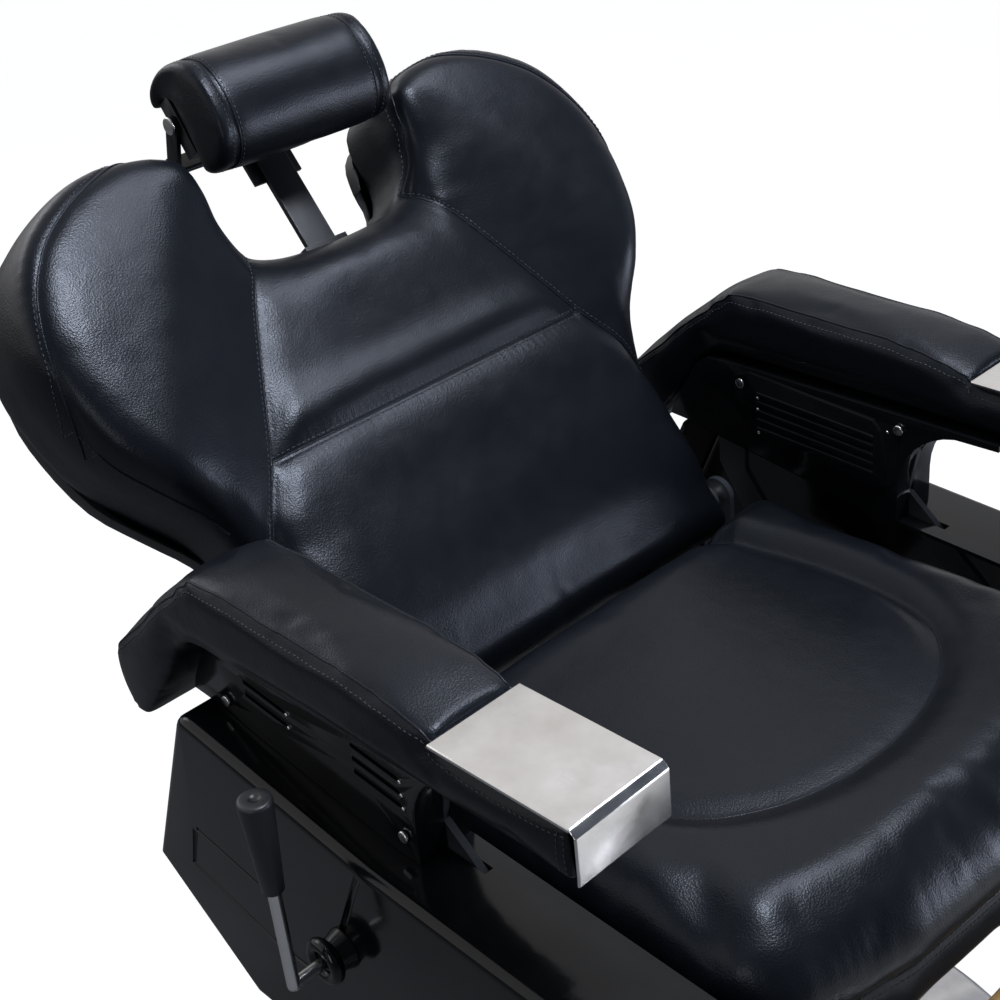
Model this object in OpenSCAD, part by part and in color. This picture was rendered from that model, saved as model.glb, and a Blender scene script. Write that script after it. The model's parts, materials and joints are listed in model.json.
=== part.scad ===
// Hydraulic barber chair: round floor base, foot-pumped column, swivelling seat,
// reclining back with a height-adjustable tilting headrest, and a linked leg rest.
// Millimetres, +Z up, the sitter faces -Y, origin on the floor under the column.

/* [Base] */
// Diameter of the round floor plate
base_d = 660; // [600:10:700]
// Height of the floor plate's dome at the pump
base_h = 48; // [40:1:60]
// Diameter of the chromed pump casing
casing_d = 126; // [116:1:136]
// Height of the pump casing's top above the floor
casing_top = 372; // [360:1:380]

/* [Column] */
// Diameter of the sliding column
column_d = 52; // [46:1:56]

/* [Seat] */
// Width of the seat cushion
seat_w = 510; // [480:2:516]
// Distance from the column's axis to the seat's front
seat_front = 283; // [270:1:290]
// Height of the seat cushion's top edge at the lowest column position
seat_top = 578; // [570:1:584]

/* [Arms] */
// Distance between the inner faces of the two arms
arm_gap = 525; // [524:1:530]
// Width of an arm pad
arm_w = 84; // [78:1:88]
// Height of the chromed arm plate's top
plate_top = 735; // [730:1:740]

/* [Back] */
// Recline of the back from vertical as drawn
rest_lean = 39; // [36:1:42]
// Half of the back cushion's thickness
back_half = 44; // [40:1:46]
// Height of the recline axis
recline_z = 545; // [543:1:547]

/* [Linkage] */
// Length of the crank arms that carry the link rods
link_crank = 64; // [60:1:66]
// Length of the crank that moves the locking strut
strut_crank = 80; // [78:1:82]

/* [Hidden] */
$fn = 64;
black = "#17191d";
soft = "#1d2026";
steel = "#8d9298";
shine = "#c9ccd0";

in_x = arm_gap / 2;                     // inner face of an arm
out_x = in_x + arm_w;                   // outer face of an arm and of a side panel
arm_z = plate_top - 51;                 // underside of the arm pads
recline_y = 199;
leg_y = -244;
leg_z = 438;
mid_angle = 12.5;                       // recline at which the cranks hang straight down
pin_r = 6;
running = 0.05;                         // radial running clearance of pins and shafts
open_fit = 0.5;                         // radial clearance of the pivots left open in the tree
deck_z = 480;                           // top of the front crossbar, where the seat board lies
crank_pin_y = sin(mid_angle) * link_crank;
crank_pin_z = -cos(mid_angle) * link_crank;
link_x = 200;                           // plane of a link rod

// Closed curve through hand-set points
function bez(a, b, c, d, t) = 0.5 * (2 * b + (c - a) * t + (2 * a - 5 * b + 4 * c - d) * t * t
    + (3 * b - a - 3 * c + d) * t * t * t);
function curve(p, n = 4) = [for (i = [0 : len(p) - 1]) for (k = [0 : n - 1])
    bez(p[(i + len(p) - 1) % len(p)], p[i], p[(i + 1) % len(p)], p[(i + 2) % len(p)], k / n)];
function arc(cx, cy, r, a0, a1, n = 8) = [for (i = [0 : n]) let (a = a0 + (a1 - a0) * i / n)
    [cx + r * cos(a), cy + r * sin(a)]];
function mirrored(p) = [for (q = p) [-q[0], q[1]]];
function backwards(p) = [for (i = [len(p) - 1 : -1 : 0]) p[i]];

// A profile drawn in Y and Z, extruded from x0 to x1
module along_x(x0, x1) {
    translate([x0, 0, 0]) rotate([90, 0, 90]) linear_extrude(x1 - x0) children();
}
// A round bar along X
module bar_x(x0, x1, y, z, r) {
    translate([x0, y, z]) rotate([0, 90, 0]) cylinder(h = x1 - x0, r = r);
}
module bar_y(y0, y1, x, z, r) {
    translate([x, y0, z]) rotate([-90, 0, 0]) cylinder(h = y1 - y0, r = r);
}
module block(low, high) {
    translate(low) cube(high - low);
}
module both_sides() {
    children();
    mirror([1, 0, 0]) children();
}
// side -1 draws the sitter's right-hand part, side 1 the left-hand one
module on_side(side) {
    if (side > 0) children();
    else mirror([1, 0, 0]) children();
}
// A flat bar with round ends between two points in Y and Z
module strap(a, b, w) {
    d = b - a;
    translate(a) rotate(atan2(d[1], d[0])) union() {
        translate([0, -w / 2]) square([norm(d), w]);
        circle(w / 2);
        translate([norm(d), 0]) circle(w / 2);
    }
}

/* ---- floor base ---- */
rim_r = base_d / 2;
plate_t = 5;
flat_r = 102;                           // radius of the dish's flat middle
bolt_r = 4;
module dish() rotate_extrude($fn = 96) polygon(concat(
    [[60, base_h - plate_t], [60, base_h]], arc(flat_r, base_h - 240, 240, 90, 74, 5),
    [[rim_r - 60, 22], [rim_r - 12, 14], [rim_r, 8], [rim_r, 4], [rim_r - 4, 4]],
    [[rim_r - 14, 10], [rim_r - 62, 17]], arc(flat_r, base_h - 240 - plate_t, 240, 74, 90, 5)));
module floor_plate() color(shine) difference() {
    dish();
    bolt_circle(base_h - 20, 30, bolt_r + 0.2);
}
module bolt_circle(z, h, r) {
    for (a = [45 : 90 : 315]) rotate(a) translate([80, 0, z]) cylinder(h = h, r = r);
}
module floor_gasket() color("#101010") rotate_extrude($fn = 96)
    polygon([[rim_r - 30, 0], [rim_r - 2, 0], [rim_r - 2, 4], [rim_r - 7, 4], [rim_r - 15, 8.5],
        [rim_r - 30, 10]]);
module pump_unit() color(steel) union() {
    difference() {
        cylinder(h = base_h - plate_t, r = 98);
        bolt_circle(15, 40, bolt_r);
    }
    difference() {
        translate([0, 0, base_h - plate_t - 1]) cylinder(h = casing_top - 10 - base_h + plate_t + 1, r = 50);
        translate([0, 0, 100]) cylinder(h = casing_top, r = column_d / 2 + 4);
    }
}
case_r = casing_d / 2;
module pump_casing() color(shine) difference() {
    rotate_extrude($fn = 96) polygon(concat([[case_r - 3, casing_top]], [[case_r, casing_top]],
        [[case_r, 120]], arc(case_r + 34, 120, 34, 180, 250, 6),
        [[case_r + 40, base_h + 24], [case_r + 40, base_h + 1], [case_r + 36, base_h + 1]],
        [[case_r + 36, base_h + 20]], arc(case_r + 34, 120, 38, 250, 180, 6), [[case_r - 4, 120]]));
    block([-20, 50, 40], [20, 140, 96]);
}
module pump_bolts() color(steel) union() {
    for (a = [45 : 90 : 315]) rotate(a) translate([80, 0, base_h]) cylinder(h = 6, r = 8, $fn = 6);
    bolt_circle(15, base_h - 14, bolt_r);
}
module guide_bush() color("#b59a5a") difference() {
    translate([0, 0, casing_top - 70]) cylinder(h = 60, r = column_d / 2 + 4);
    translate([0, 0, casing_top - 71]) cylinder(h = 62, r = column_d / 2 + running);
}
module wiper_ring() color("#101010") difference() {
    union() {
        translate([0, 0, casing_top - 10]) cylinder(h = 10, r = case_r - 3.3);
        translate([0, 0, casing_top]) cylinder(h = 5, r1 = case_r, r2 = case_r - 10);
    }
    translate([0, 0, casing_top - 11]) cylinder(h = 20, r = column_d / 2 + 0.4);
}
pedal_y = 118;
pedal_z = 72;
pedal_bend = [250, 118];
pedal_end = [372, 137];
module pedal_arm() along_x(-8, 8) strap(pedal_bend, pedal_end, 16);
module pedal_bracket() color(steel) union() {
    both_sides() difference() {
        along_x(14, 19) polygon([[52, base_h], [96, base_h], [132, 62], [132, 86], [120, 92], [52, 92]]);
        bar_x(10, 22, pedal_y, pedal_z, 5);
    }
}
module pedal_pin() color(shine) union() {
    bar_x(-19, 19, pedal_y, pedal_z, 5);
    both_sides() bar_x(19, 22, pedal_y, pedal_z, 8);
}
module pedal_lever() color(shine) difference() {
    union() {
        bar_x(-13.5, 13.5, pedal_y, pedal_z, 13);
        along_x(-7, 7) strap([pedal_y, pedal_z], [pedal_y - 36, pedal_z + 4], 14);
        along_x(-8, 8) strap([pedal_y, pedal_z], pedal_bend, 16);
        pedal_arm();
    }
    bar_x(-20, 20, pedal_y, pedal_z, 5 + running);
}
module pedal_tread() color("#101010") difference() {
    along_x(-42, 42) strap([326, 129.8], pedal_end, 26);
    pedal_arm();
}

/* ---- column ---- */
module column() color(shine) union() {
    translate([0, 0, 110]) cylinder(h = 290, r = column_d / 2);
    translate([0, 0, 399]) cylinder(h = 33, r = column_d / 2 - 5);
}
module swivel_race() color("#b59a5a") difference() {
    translate([0, 0, 400]) cylinder(h = 4, r = column_d / 2 + 8);
    translate([0, 0, 399]) cylinder(h = 6, r = column_d / 2 - 5);
}

/* ---- seat frame ---- */
module swivel_hub() color(steel) difference() {
    translate([0, 0, 404.4]) cylinder(h = 31.6, r = 46);
    translate([0, 0, 403]) cylinder(h = 34, r = column_d / 2 - 5 + running);
}
module swivel_plate() color(steel) difference() {
    block([-172, -95, 436], [172, 95, 444]);
    for (x = [-155, 155]) for (y = [-75, 75]) translate([x, y, 430]) cylinder(h = 20, r = 5);
}
module swivel_bolts() color(shine) for (x = [-155, 155]) for (y = [-75, 75])
    translate([x, y, 430]) union() {
        cylinder(h = 6, r = 9, $fn = 6);
        cylinder(h = 14, r = 5);
    }
rail_x = 138;
module frame_rails() color(steel) both_sides() union() {
    block([rail_x, -225, 444], [rail_x + 34, 185, 458]);
    block([rail_x, 90, 457.9], [rail_x + 34, 130, deck_z]);
}
module frame_crossbars() color(steel) union() {
    block([skirt_t - out_x, -134, 458], [out_x - skirt_t, -106, deck_z]);
    block([skirt_t - out_x, 104, 418], [out_x - skirt_t, 130, 444]);
}
module seat_board() color("#a5835a") difference() {
    block([-236, -244, deck_z], [236, 140, deck_z + 12]);
    block([-30, 120, deck_z - 1], [30, 150, deck_z + 13]);
    both_sides() rod_slot(20, 150, deck_z - 1, deck_z + 13);
}
// Room for a link rod as it rises
module rod_slot(y0, y1, z0, z1) block([link_x - 8, y0, z0], [link_x + 7, y1, z1]);

/* ---- seat cushion ---- */
sx = seat_w / 2;
seat_outline = concat([[-sx, 152]], [[-sx, -190]], arc(-sx + 62, -194, 62, 180, 250, 6),
    [[-120, -seat_front + 7], [0, -seat_front], [120, -seat_front + 7]],
    arc(sx - 62, -194, 62, 290, 360, 6), [[sx, -190], [sx, 152]]);
module seat_cushion() color(soft) difference() {
    union() {
        translate([0, 0, 456]) linear_extrude(seat_top - 12 - 456) polygon(seat_outline);
        translate([0, 0, seat_top - 12.1]) linear_extrude(12.1) scale([0.96, 0.96]) polygon(seat_outline);
    }
    block([-237, -250, 450], [237, 160, deck_z + 12]);
    block([-30, 120, 450], [30, 160, 510]);
    block([-260, -135, 450], [260, -105, deck_z + 1]);
    both_sides() rod_slot(100, 160, 450, 502);
}

/* ---- side panels ---- */
// Outline of the gloss skirt in Y and Z
function skirt(e) = concat([[-262 + e, 560 - e]], [[30, 577 - e]], [[232, 606 - e]],
    arc(240 - e, 590 - e, 17, 90, 20, 5), [[335 - e, 421]], [[216 - e * 0.6, 330 + e]],
    [[-150, 330 + e]], [[-262 + e, 420]]);
skirt_t = 4;
skirt_deep = 80;
// Pressed groove on the skirt's outer face
groove_w = 6;
module skirt_groove() union() {
    strap([38, 574], [103, 422], groove_w);
    strap([103, 422], [172, 421], groove_w);
    strap([172, 421], [273, 444], groove_w);
    strap([273, 444], [259, 486], groove_w);
}
module side_panel(side) color(black) on_side(side) difference() {
    along_x(out_x - skirt_deep, out_x) polygon(skirt(0));
    along_x(out_x - skirt_deep - 1, out_x - skirt_t) polygon(skirt(skirt_t));
    along_x(out_x - 1.5, out_x + 1) skirt_groove();
    block([core_x0 - 1, -34, 555], [core_x1 + 1, 240, 620]);
    if (side < 0) bar_x(out_x - 10, out_x + 5, lever_y, lever_z, 8);
}

/* ---- arms ---- */
core_x0 = in_x + 20;
core_x1 = in_x + 26;
// Steel plate inside an arm: two posts off the crossbars and a rail under the pad
module arm_core(side) color(steel) on_side(side) difference() {
    along_x(core_x0, core_x1) polygon([[-134, 458], [-106, 458], [30, 600], [30, 640], [60, 664],
        [190, 664], [190, 560], [104, 444], [104, 418], [130, 418], [222, 560], [222, 660],
        [204, arm_z - 4], [198, arm_z], [-150, arm_z], [-150, arm_z - 8], [-10, arm_z - 8], [6, 600],
        [-134, deck_z]]);
    block([core_x0 - 1, -134.1, 457], [core_x1 + 1, -105.9, deck_z]);
    block([core_x0 - 1, 103.9, 417], [core_x1 + 1, 130.1, 444]);
}
// Outline of the moulded arm panels in Y and Z, with the hollow front edge
arm_panel = concat([[-92, arm_z]], [[-92, arm_z - 6]], arc(-62, 612, 66, 80, 0, 8), [[4, 576]],
    [[30, 577.5]], [[232, 606.5]], [[240, 607.5]], [[266, 609]], [[261.4, 621.4]],
    arc(196, 640, 47.6, 20, 60, 3), [[199, arm_z]]);
// Inside of the moulded panels
panel_hollow = [[8, 590], [8, arm_z - 8], [196, arm_z - 8], [222, 662], [252, 618]];
// Screws in the panels, in Y and Z
inner_screws = [[4, 670], [177, 667]];
outer_screws = [[17, 596], [219, 618]];
module ribs(x0, x1) union() {
    for (z = [626 : 9 : 662]) along_x(x0, x1) strap([30, z - 6], [156, z], 3.5);
}
module arm_inner_panel(side) color(black) on_side(side) difference() {
    union() {
        along_x(in_x, core_x0) polygon(arm_panel);
        along_x(in_x - 2.5, in_x + 1) polygon([[10, 612], [22, 664], [30, 672], [166, 681], [184, 674],
            [184, 640], [170, 622], [34, 600]]);
        ribs(in_x - 4, in_x - 2);
    }
    along_x(in_x + 3, core_x0 + 1) polygon(panel_hollow);
    for (p = inner_screws) {
        bar_x(in_x - 8, in_x + 30, p[0], p[1], 2.5);
        bar_x(in_x - 8, in_x, p[0], p[1], 5.4);
    }
}
module arm_outer_panel(side) color(black) on_side(side) difference() {
    along_x(core_x1, in_x + 52) polygon(arm_panel);
    along_x(core_x1 - 1, in_x + 49) polygon(panel_hollow);
    for (z = [628, 640, 652]) along_x(in_x + 48, in_x + 53) strap([18, z - 5], [64, z], 4);
    for (z = [636, 648]) along_x(in_x + 48, in_x + 53) strap([144, z - 5], [190, z], 4);
    for (p = outer_screws) bar_x(in_x + 20, in_x + 60, p[0], p[1], 2.5);
}
// Pad outline in Y and Z: flat front, level underside, and the hook behind
pad_top = concat([[-184, plate_top - 47]], [[-184, plate_top - 4]], [[-61, plate_top - 4]],
    [[-60, plate_top + 8]], [[-30, plate_top + 14]], [[20, plate_top + 19]], [[150, plate_top + 22]],
    [[196, plate_top + 19]], arc(186, plate_top - 32, 46, 70, 40, 3), [[262, 700]],
    arc(276, 618, 56, 24, -40, 5));
pad_under = concat([[318, 576]], [[302, 574]], [[288, 590]], [[262, 622]],
    arc(196, 640, 48, 20, 60, 3), [[200, arm_z]]);
module arm_pad(side) color(soft) on_side(side)
    along_x(in_x, out_x) polygon(concat(pad_top, pad_under, [[-184, arm_z]]));
module arm_plate(side) color(shine) on_side(side)
    along_x(in_x + 1, out_x - 1) polygon([[-61, plate_top], [-61, plate_top - 3.8],
        [-184.2, plate_top - 3.8], [-184.2, plate_top - 42], [-187, plate_top - 42],
        [-187, plate_top - 5], [-182, plate_top]]);
module screw_x(x, y, z, out) translate([x, y, z]) rotate([0, 90 * out, 0]) union() {
    cylinder(h = 3, r = 5);
    translate([0, 0, -14]) cylinder(h = 14.5, r = 2.4);
}
module panel_screws() color(shine) both_sides() union() {
    for (p = inner_screws) screw_x(in_x, p[0], p[1], -1);
    for (p = outer_screws) screw_x(in_x + 52, p[0], p[1], 1);
}

/* ---- recline hinge and strut ---- */
module recline_brackets() color(steel) both_sides() difference() {
    along_x(248, 254) union() {
        strap([recline_y, recline_z], [recline_y, 470], 34);
        strap([recline_y, 440], [110, 428], 24);
        strap([recline_y, 470], [recline_y, 440], 24);
    }
    bar_x(240, 260, recline_y, recline_z, 10);
    block([240, 103.9, 417.9], [260, 130.1, 444.1]);
}
module recline_shaft() color(shine) bar_x(-258, 258, recline_y, recline_z, 10);
strut_z = recline_z - strut_crank * cos(mid_angle);
module strut_cylinder() color("#26282b") union() {
    difference() {
        bar_y(-90, 70, 0, strut_z, 11);
        bar_y(-70, 71, 0, strut_z, 5 + running);
    }
    block([-8, -106, strut_z - 7], [8, -88, strut_z + 7]);
}
// Threaded sleeve and ring that carry the release lever
lever_y = 70;
lever_z = 480;
module lever_collar() color(black) translate([-out_x, lever_y, lever_z]) rotate([0, -90, 0]) union() {
    difference() {
        union() {
            cylinder(h = 14, r1 = 17, r2 = 13);
            translate([0, 0, 18]) rotate_extrude() translate([14, 0]) circle(r = 5.5);
            cylinder(h = 18, r = 12);
        }
        translate([0, 0, -1]) cylinder(h = 30, r = 5 + running);
    }
}
module leg_brackets() color(steel) both_sides() difference() {
    along_x(172, 178) union() {
        strap([leg_y, leg_z], [-208, 451], 26);
        translate([-215, 438]) square([60, 20]);
    }
    bar_x(160, 190, leg_y, leg_z, pin_r + 2 + running);
}

/* ---- back, drawn upright about the recline axis and then leaned ---- */
module lean() translate([0, recline_y, recline_z]) rotate([-rest_lean, 0, 0]) children();
back_half_points = [[0, -60], [200, -60], [232, -40], [233, 20], [233, 73], [235, 115], [243, 154],
    [256, 191], [284, 230], [313, 274], [328, 330], [330, 378], [313, 430], [284, 467], [236, 495],
    [189, 505], [142, 499], [113, 482], [103, 451], [100, 420], [74, 390], [30, 383]];
function whole(p) = concat(p, mirrored(backwards([for (i = [1 : len(p) - 1]) p[i]])));
module back_outline(grow = 0) {
    if (grow == 0) polygon(curve(whole(back_half_points), 3));
    else scale([1 + grow / 300, 1 + grow / 260]) polygon(curve(whole(back_half_points), 3));
}
module slab(y0, y1) translate([0, y1, 0]) rotate([90, 0, 0]) linear_extrude(y1 - y0) children();
module back_cushion() color(soft) lean() difference() {
    union() {
        slab(-back_half + 12, 34) above(0) back_outline();
        slab(-back_half, -back_half + 13) above(0) back_outline(-10);
        bar_x(-226, 226, 0, 0, back_half - 1);
    }
    block([-240, 34, 0], [240, 60, 60]);
    bar_x(-240, 240, 0, 0, 17);
    block([-246, -17, -60], [246, 60, 0]);
    block([-60, -16, -60], [60, 60, 17]);
    both_sides() block([188, -60, -60], [240, 60, 17]);
    both_sides() block([148, -16, 0], [158, 36, 122]);
    block([-25, -6, 195], [25, 16, 400]);
    block([-6, 10, 324], [6, 36, 336]);
}
// Keeps what lies above a height of an outline
module above(z) intersection() {
    children();
    translate([-400, z]) square([800, 600]);
}
module hinge_tube() color(steel) difference() {
    union() {
        bar_x(-236, 236, recline_y, recline_z, 14);
        lean() both_sides() block([150, 0, 8], [156, 34, 118]);
    }
    bar_x(-240, 240, recline_y, recline_z, 10 + running);
}
// Cranks that hang from the hinge tube: one for the strut and one for each link rod
module crank(x0, x1, length, w) difference() {
    along_x(x0, x1) translate([recline_y, recline_z]) rotate(mid_angle) strap([0, 0], [0, -length], w);
    bar_x(x0 - 1, x1 + 1, recline_y, recline_z, 14);
}
module back_cranks() color(steel) union() {
    for (x = [-17, 11]) crank(x, x + 6, strut_crank, 26);
    translate([0, recline_y, recline_z]) rotate([mid_angle, 0, 0]) bar_x(-17, 17, 0, -strut_crank, pin_r);
    both_sides() crank(link_x + 4, link_x + 10, link_crank, 26);
    translate([0, recline_y, recline_z]) rotate([mid_angle, 0, 0]) both_sides()
        bar_x(link_x - 6, link_x + 6, 0, -link_crank, pin_r);
}
module back_board() color("#a5835a") lean() difference() {
    slab(34, 44) above(17) back_outline(-18);
    block([-6, 30, 324], [6, 60, 336]);
}
module back_cover() color(black) lean() difference() {
    slab(44, 60) above(20) back_outline(-14);
    slab(43, 57) above(24) back_outline(-24);
    block([-6, 40, 324], [6, 70, 336]);
}
bar_w = 32;
bar_t = 6;
bar_y0 = 2;                            // front face of the headrest bar behind the recline axis
module headrest_socket() color(steel) lean() difference() {
    block([-24, bar_y0 - 6, 200], [24, bar_y0 + bar_t + 6, 380]);
    block([-bar_w / 2 - 0.3, bar_y0 - 0.3, 190], [bar_w / 2 + 0.3, bar_y0 + bar_t + 0.3, 420]);
    translate([0, bar_y0 + bar_t, 330]) rotate([-90, 0, 0]) cylinder(h = 20, r = 5);
}
module clamp_knob() color(black)
    lean() translate([0, bar_y0 + bar_t + 0.5, 330]) rotate([-90, 0, 0]) union() {
        cylinder(h = 54, r = 5);
        translate([0, 0, 52.5]) cylinder(h = 20, r = 19, $fn = 8);
    }
module strut_rod() color(shine) union() {
    bar_y(-10, 196, 0, strut_z, 5);
    difference() {
        block([-10, 190, strut_z - 14], [10, recline_y + strut_crank * sin(mid_angle) + 18, strut_z + 18]);
        along_x(-11, 11) strap([recline_y + strut_crank * sin(mid_angle), strut_z - 2.5],
            [recline_y + strut_crank * sin(mid_angle), strut_z + 9.5], pin_r * 2 + 2.6);
    }
}

/* ---- headrest ---- */
head_y = 505;
head_z = 962;
ear_x = 88;
module headrest_bar() color("#202226")
    lean() block([-bar_w / 2, bar_y0, 225], [bar_w / 2, bar_y0 + bar_t, 480]);
// Channel welded on the bar's top, with one ear beside each end of the pad's board
module headrest_yoke() color("#202226") difference() {
    union() {
        lean() block([-26, bar_y0 + bar_t, 452], [26, bar_y0 + bar_t + 4, 484]);
        along_x(-ear_x - 4, ear_x + 4) strap([507, 920], [522, 927], 5);
        both_sides() along_x(ear_x, ear_x + 4) strap([head_y, head_z], [514, 925], 16);
    }
    bar_x(-100, 100, head_y, head_z, 4 + running);
}
// The back of the pad is hollow for the board and the yoke
head_board = [[480, 941], [510.5, 985], [524, 976], [493, 932]];
module headrest_board() color("#a5835a") difference() {
    along_x(-ear_x + 0.5, ear_x - 0.5) polygon(head_board);
    both_sides() bar_x(50, 100, head_y, head_z, 4);
}
head_outline = [[464, 919], [434, 930], [421, 956], [427, 986], [446, 1012], [472, 1026], [506, 1020],
    [532, 1002], [543, 980], [534, 958], [500, 930]];
module headrest_pad() color(soft) difference() {
    along_x(-97, 97) polygon(curve(head_outline, 4));
    along_x(-98, 98) polygon([[474, 900], [480, 941], [510.5, 985], [520, 988], [528, 974], [560, 962],
        [560, 900]]);
}
module headrest_screws() color(shine) both_sides() union() {
    bar_x(52, ear_x + 4.3, head_y, head_z, 4);
    bar_x(ear_x + 4.3, ear_x + 7, head_y, head_z, 8);
}

/* ---- leg rest, drawn hanging and then raised ---- */
leg_lift = 30;
foot_drop = 302;                        // from the leg rest's pivot down to the foot plate
module raise() translate([0, leg_y, leg_z]) rotate([-leg_lift, 0, 0]) children();
module leg_hinge() color(steel) bar_x(-222, 222, leg_y, leg_z, pin_r + 2);
module leg_arms() color(steel) difference() {
    union() {
        raise() both_sides() block([160, -8, 12 - foot_drop], [168, 8, 8]);
        both_sides() along_x(link_x + 4, link_x + 10) translate([leg_y, leg_z]) rotate(mid_angle)
            strap([0, 0], [0, -link_crank], 24);
        translate([0, leg_y, leg_z]) rotate([mid_angle, 0, 0]) both_sides()
            bar_x(link_x - 6, link_x + 6, 0, -link_crank, pin_r);
    }
    bar_x(-230, 230, leg_y, leg_z, pin_r + 2);
}
module calf_board() color("#a5835a") raise() block([-159.5, -14, -262], [159.5, -4, -48]);
module calf_pad() color(soft) raise() union() {
    block([-205, -66, -272], [205, -14, -40]);
    block([-195, -74, -262], [195, -65, -50]);
}
module foot_plate() color(shine) raise() union() {
    block([-175, -8, -foot_drop], [175, 8, 12 - foot_drop]);
    block([-175, -150, -foot_drop], [175, -8, 6 - foot_drop]);
}
module foot_tread() color("#101010") raise() for (x = [-160 : 40 : 160])
    block([x - 13, -146, 6 - foot_drop], [x + 13, -20, 9 - foot_drop]);
module link_rods() color(steel) both_sides() difference() {
    along_x(link_x - 3, link_x + 2) strap([leg_y + crank_pin_y, leg_z + crank_pin_z],
        [recline_y + crank_pin_y, recline_z + crank_pin_z], 20);
    bar_x(link_x - 10, link_x + 10, leg_y + crank_pin_y, leg_z + crank_pin_z, pin_r + running);
    bar_x(link_x - 10, link_x + 10, recline_y + crank_pin_y, recline_z + crank_pin_z, pin_r + open_fit);
}

/* ---- release lever ---- */
lever_x = -out_x - 48;
module lever_rod() color(shine) union() {
    bar_x(lever_x, -out_x + 30, lever_y, lever_z, 5);
    translate([lever_x, lever_y, lever_z]) sphere(r = 5);
    translate([lever_x, lever_y, lever_z]) cylinder(h = 110, r = 5);
    bar_x(-out_x + 18, -out_x + 26, lever_y, lever_z, 9);
}
module lever_grip() color(black) difference() {
    translate([lever_x, lever_y, lever_z + 92]) union() {
        cylinder(h = 78, r1 = 8, r2 = 13);
        translate([0, 0, 78]) cylinder(h = 4, r1 = 13, r2 = 10);
    }
    translate([lever_x, lever_y, lever_z + 80]) cylinder(h = 30, r = 5);
}

floor_plate();
floor_gasket();
pump_unit();
pump_casing();
pump_bolts();
guide_bush();
wiper_ring();
pedal_bracket();
pedal_pin();
pedal_lever();
pedal_tread();
column();
swivel_race();
swivel_hub();
swivel_plate();
swivel_bolts();
frame_rails();
frame_crossbars();
seat_board();
seat_cushion();
side_panel(-1);  // side_panel_right
side_panel(1);  // side_panel_left
arm_core(-1);  // arm_core_right
arm_core(1);  // arm_core_left
arm_inner_panel(-1);  // arm_inner_panel_right
arm_inner_panel(1);  // arm_inner_panel_left
arm_outer_panel(-1);  // arm_outer_panel_right
arm_outer_panel(1);  // arm_outer_panel_left
arm_pad(-1);  // arm_pad_right
arm_pad(1);  // arm_pad_left
arm_plate(-1);  // arm_plate_right
arm_plate(1);  // arm_plate_left
panel_screws();
recline_brackets();
recline_shaft();
strut_cylinder();
lever_collar();
leg_brackets();
hinge_tube();
back_cranks();
back_board();
back_cushion();
back_cover();
headrest_socket();
clamp_knob();
strut_rod();
headrest_bar();
headrest_yoke();
headrest_board();
headrest_pad();
headrest_screws();
leg_hinge();
leg_arms();
calf_board();
calf_pad();
foot_plate();
foot_tread();
link_rods();
lever_rod();
lever_grip();
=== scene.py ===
"""A hydraulic barber chair in black upholstery leather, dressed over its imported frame.

Metres, +Z up, the sitter faces -Y, the origin on the floor under the column. "Right" and
"left" are the sitter's. The back is drawn in its own frame, upright at the recline pivot, and
the leg rest's pad in one at its hinge: X across, Y from front to rear, Z up, in millimetres.
"""

import json
import math

import bmesh
import bpy
import numpy as np
from mathutils import Matrix, Vector
from mathutils.bvhtree import BVHTree


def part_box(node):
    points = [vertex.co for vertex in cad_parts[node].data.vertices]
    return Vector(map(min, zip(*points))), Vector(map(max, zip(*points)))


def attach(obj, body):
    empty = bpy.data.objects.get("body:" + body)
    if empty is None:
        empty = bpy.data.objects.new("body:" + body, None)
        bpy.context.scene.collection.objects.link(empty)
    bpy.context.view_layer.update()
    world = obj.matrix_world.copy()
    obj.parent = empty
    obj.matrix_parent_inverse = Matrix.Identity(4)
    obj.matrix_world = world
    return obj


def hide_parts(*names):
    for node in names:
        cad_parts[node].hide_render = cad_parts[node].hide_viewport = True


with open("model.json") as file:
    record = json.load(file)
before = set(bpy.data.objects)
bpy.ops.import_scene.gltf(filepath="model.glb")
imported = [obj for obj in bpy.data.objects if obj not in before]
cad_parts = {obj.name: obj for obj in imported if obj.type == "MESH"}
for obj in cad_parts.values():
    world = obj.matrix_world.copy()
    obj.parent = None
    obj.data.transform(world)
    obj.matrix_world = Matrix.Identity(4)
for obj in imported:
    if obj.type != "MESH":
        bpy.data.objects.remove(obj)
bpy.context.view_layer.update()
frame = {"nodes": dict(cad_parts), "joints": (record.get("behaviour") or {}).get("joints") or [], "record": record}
NODES = frame["nodes"]
JOINTS = {joint["name"]: joint for joint in frame["joints"]}
MM = 0.001
PROUD = 0.0002  # how far stitches stand off the leather, in metres
FINISHES = {}


# ---- frames that the moving parts are drawn in ----

def swivel_frame(joint, angle):
    """The frame at a hinge's axis, turned about X from upright."""
    return Matrix.Translation(JOINTS[joint]["pos_m"]) @ Matrix.Rotation(-angle, 4, "X")


slide = JOINTS["headrest_height"]["axis"]
LEAN = math.atan2(slide[1], slide[2])
BACK = swivel_frame("recline", LEAN)
LEG_LIFT = math.radians(30)
LEG = swivel_frame("leg_raise", LEG_LIFT)
LEVEL = Matrix.Identity(4)


def box_of(node):
    """A node's box in millimetres: ((x0, y0, z0), (x1, y1, z1))."""
    low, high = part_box(node)
    return np.array(low) / MM, np.array(high) / MM


ARM_LOW, ARM_HIGH = box_of("arm_pad_left")
IN_X, OUT_X = ARM_LOW[0], ARM_HIGH[0]
SEAT_LOW, SEAT_HIGH = box_of("seat_cushion")
PLATE_TOP = box_of("arm_plate_left")[1][2]


# ---- objects and modifiers ----

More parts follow.
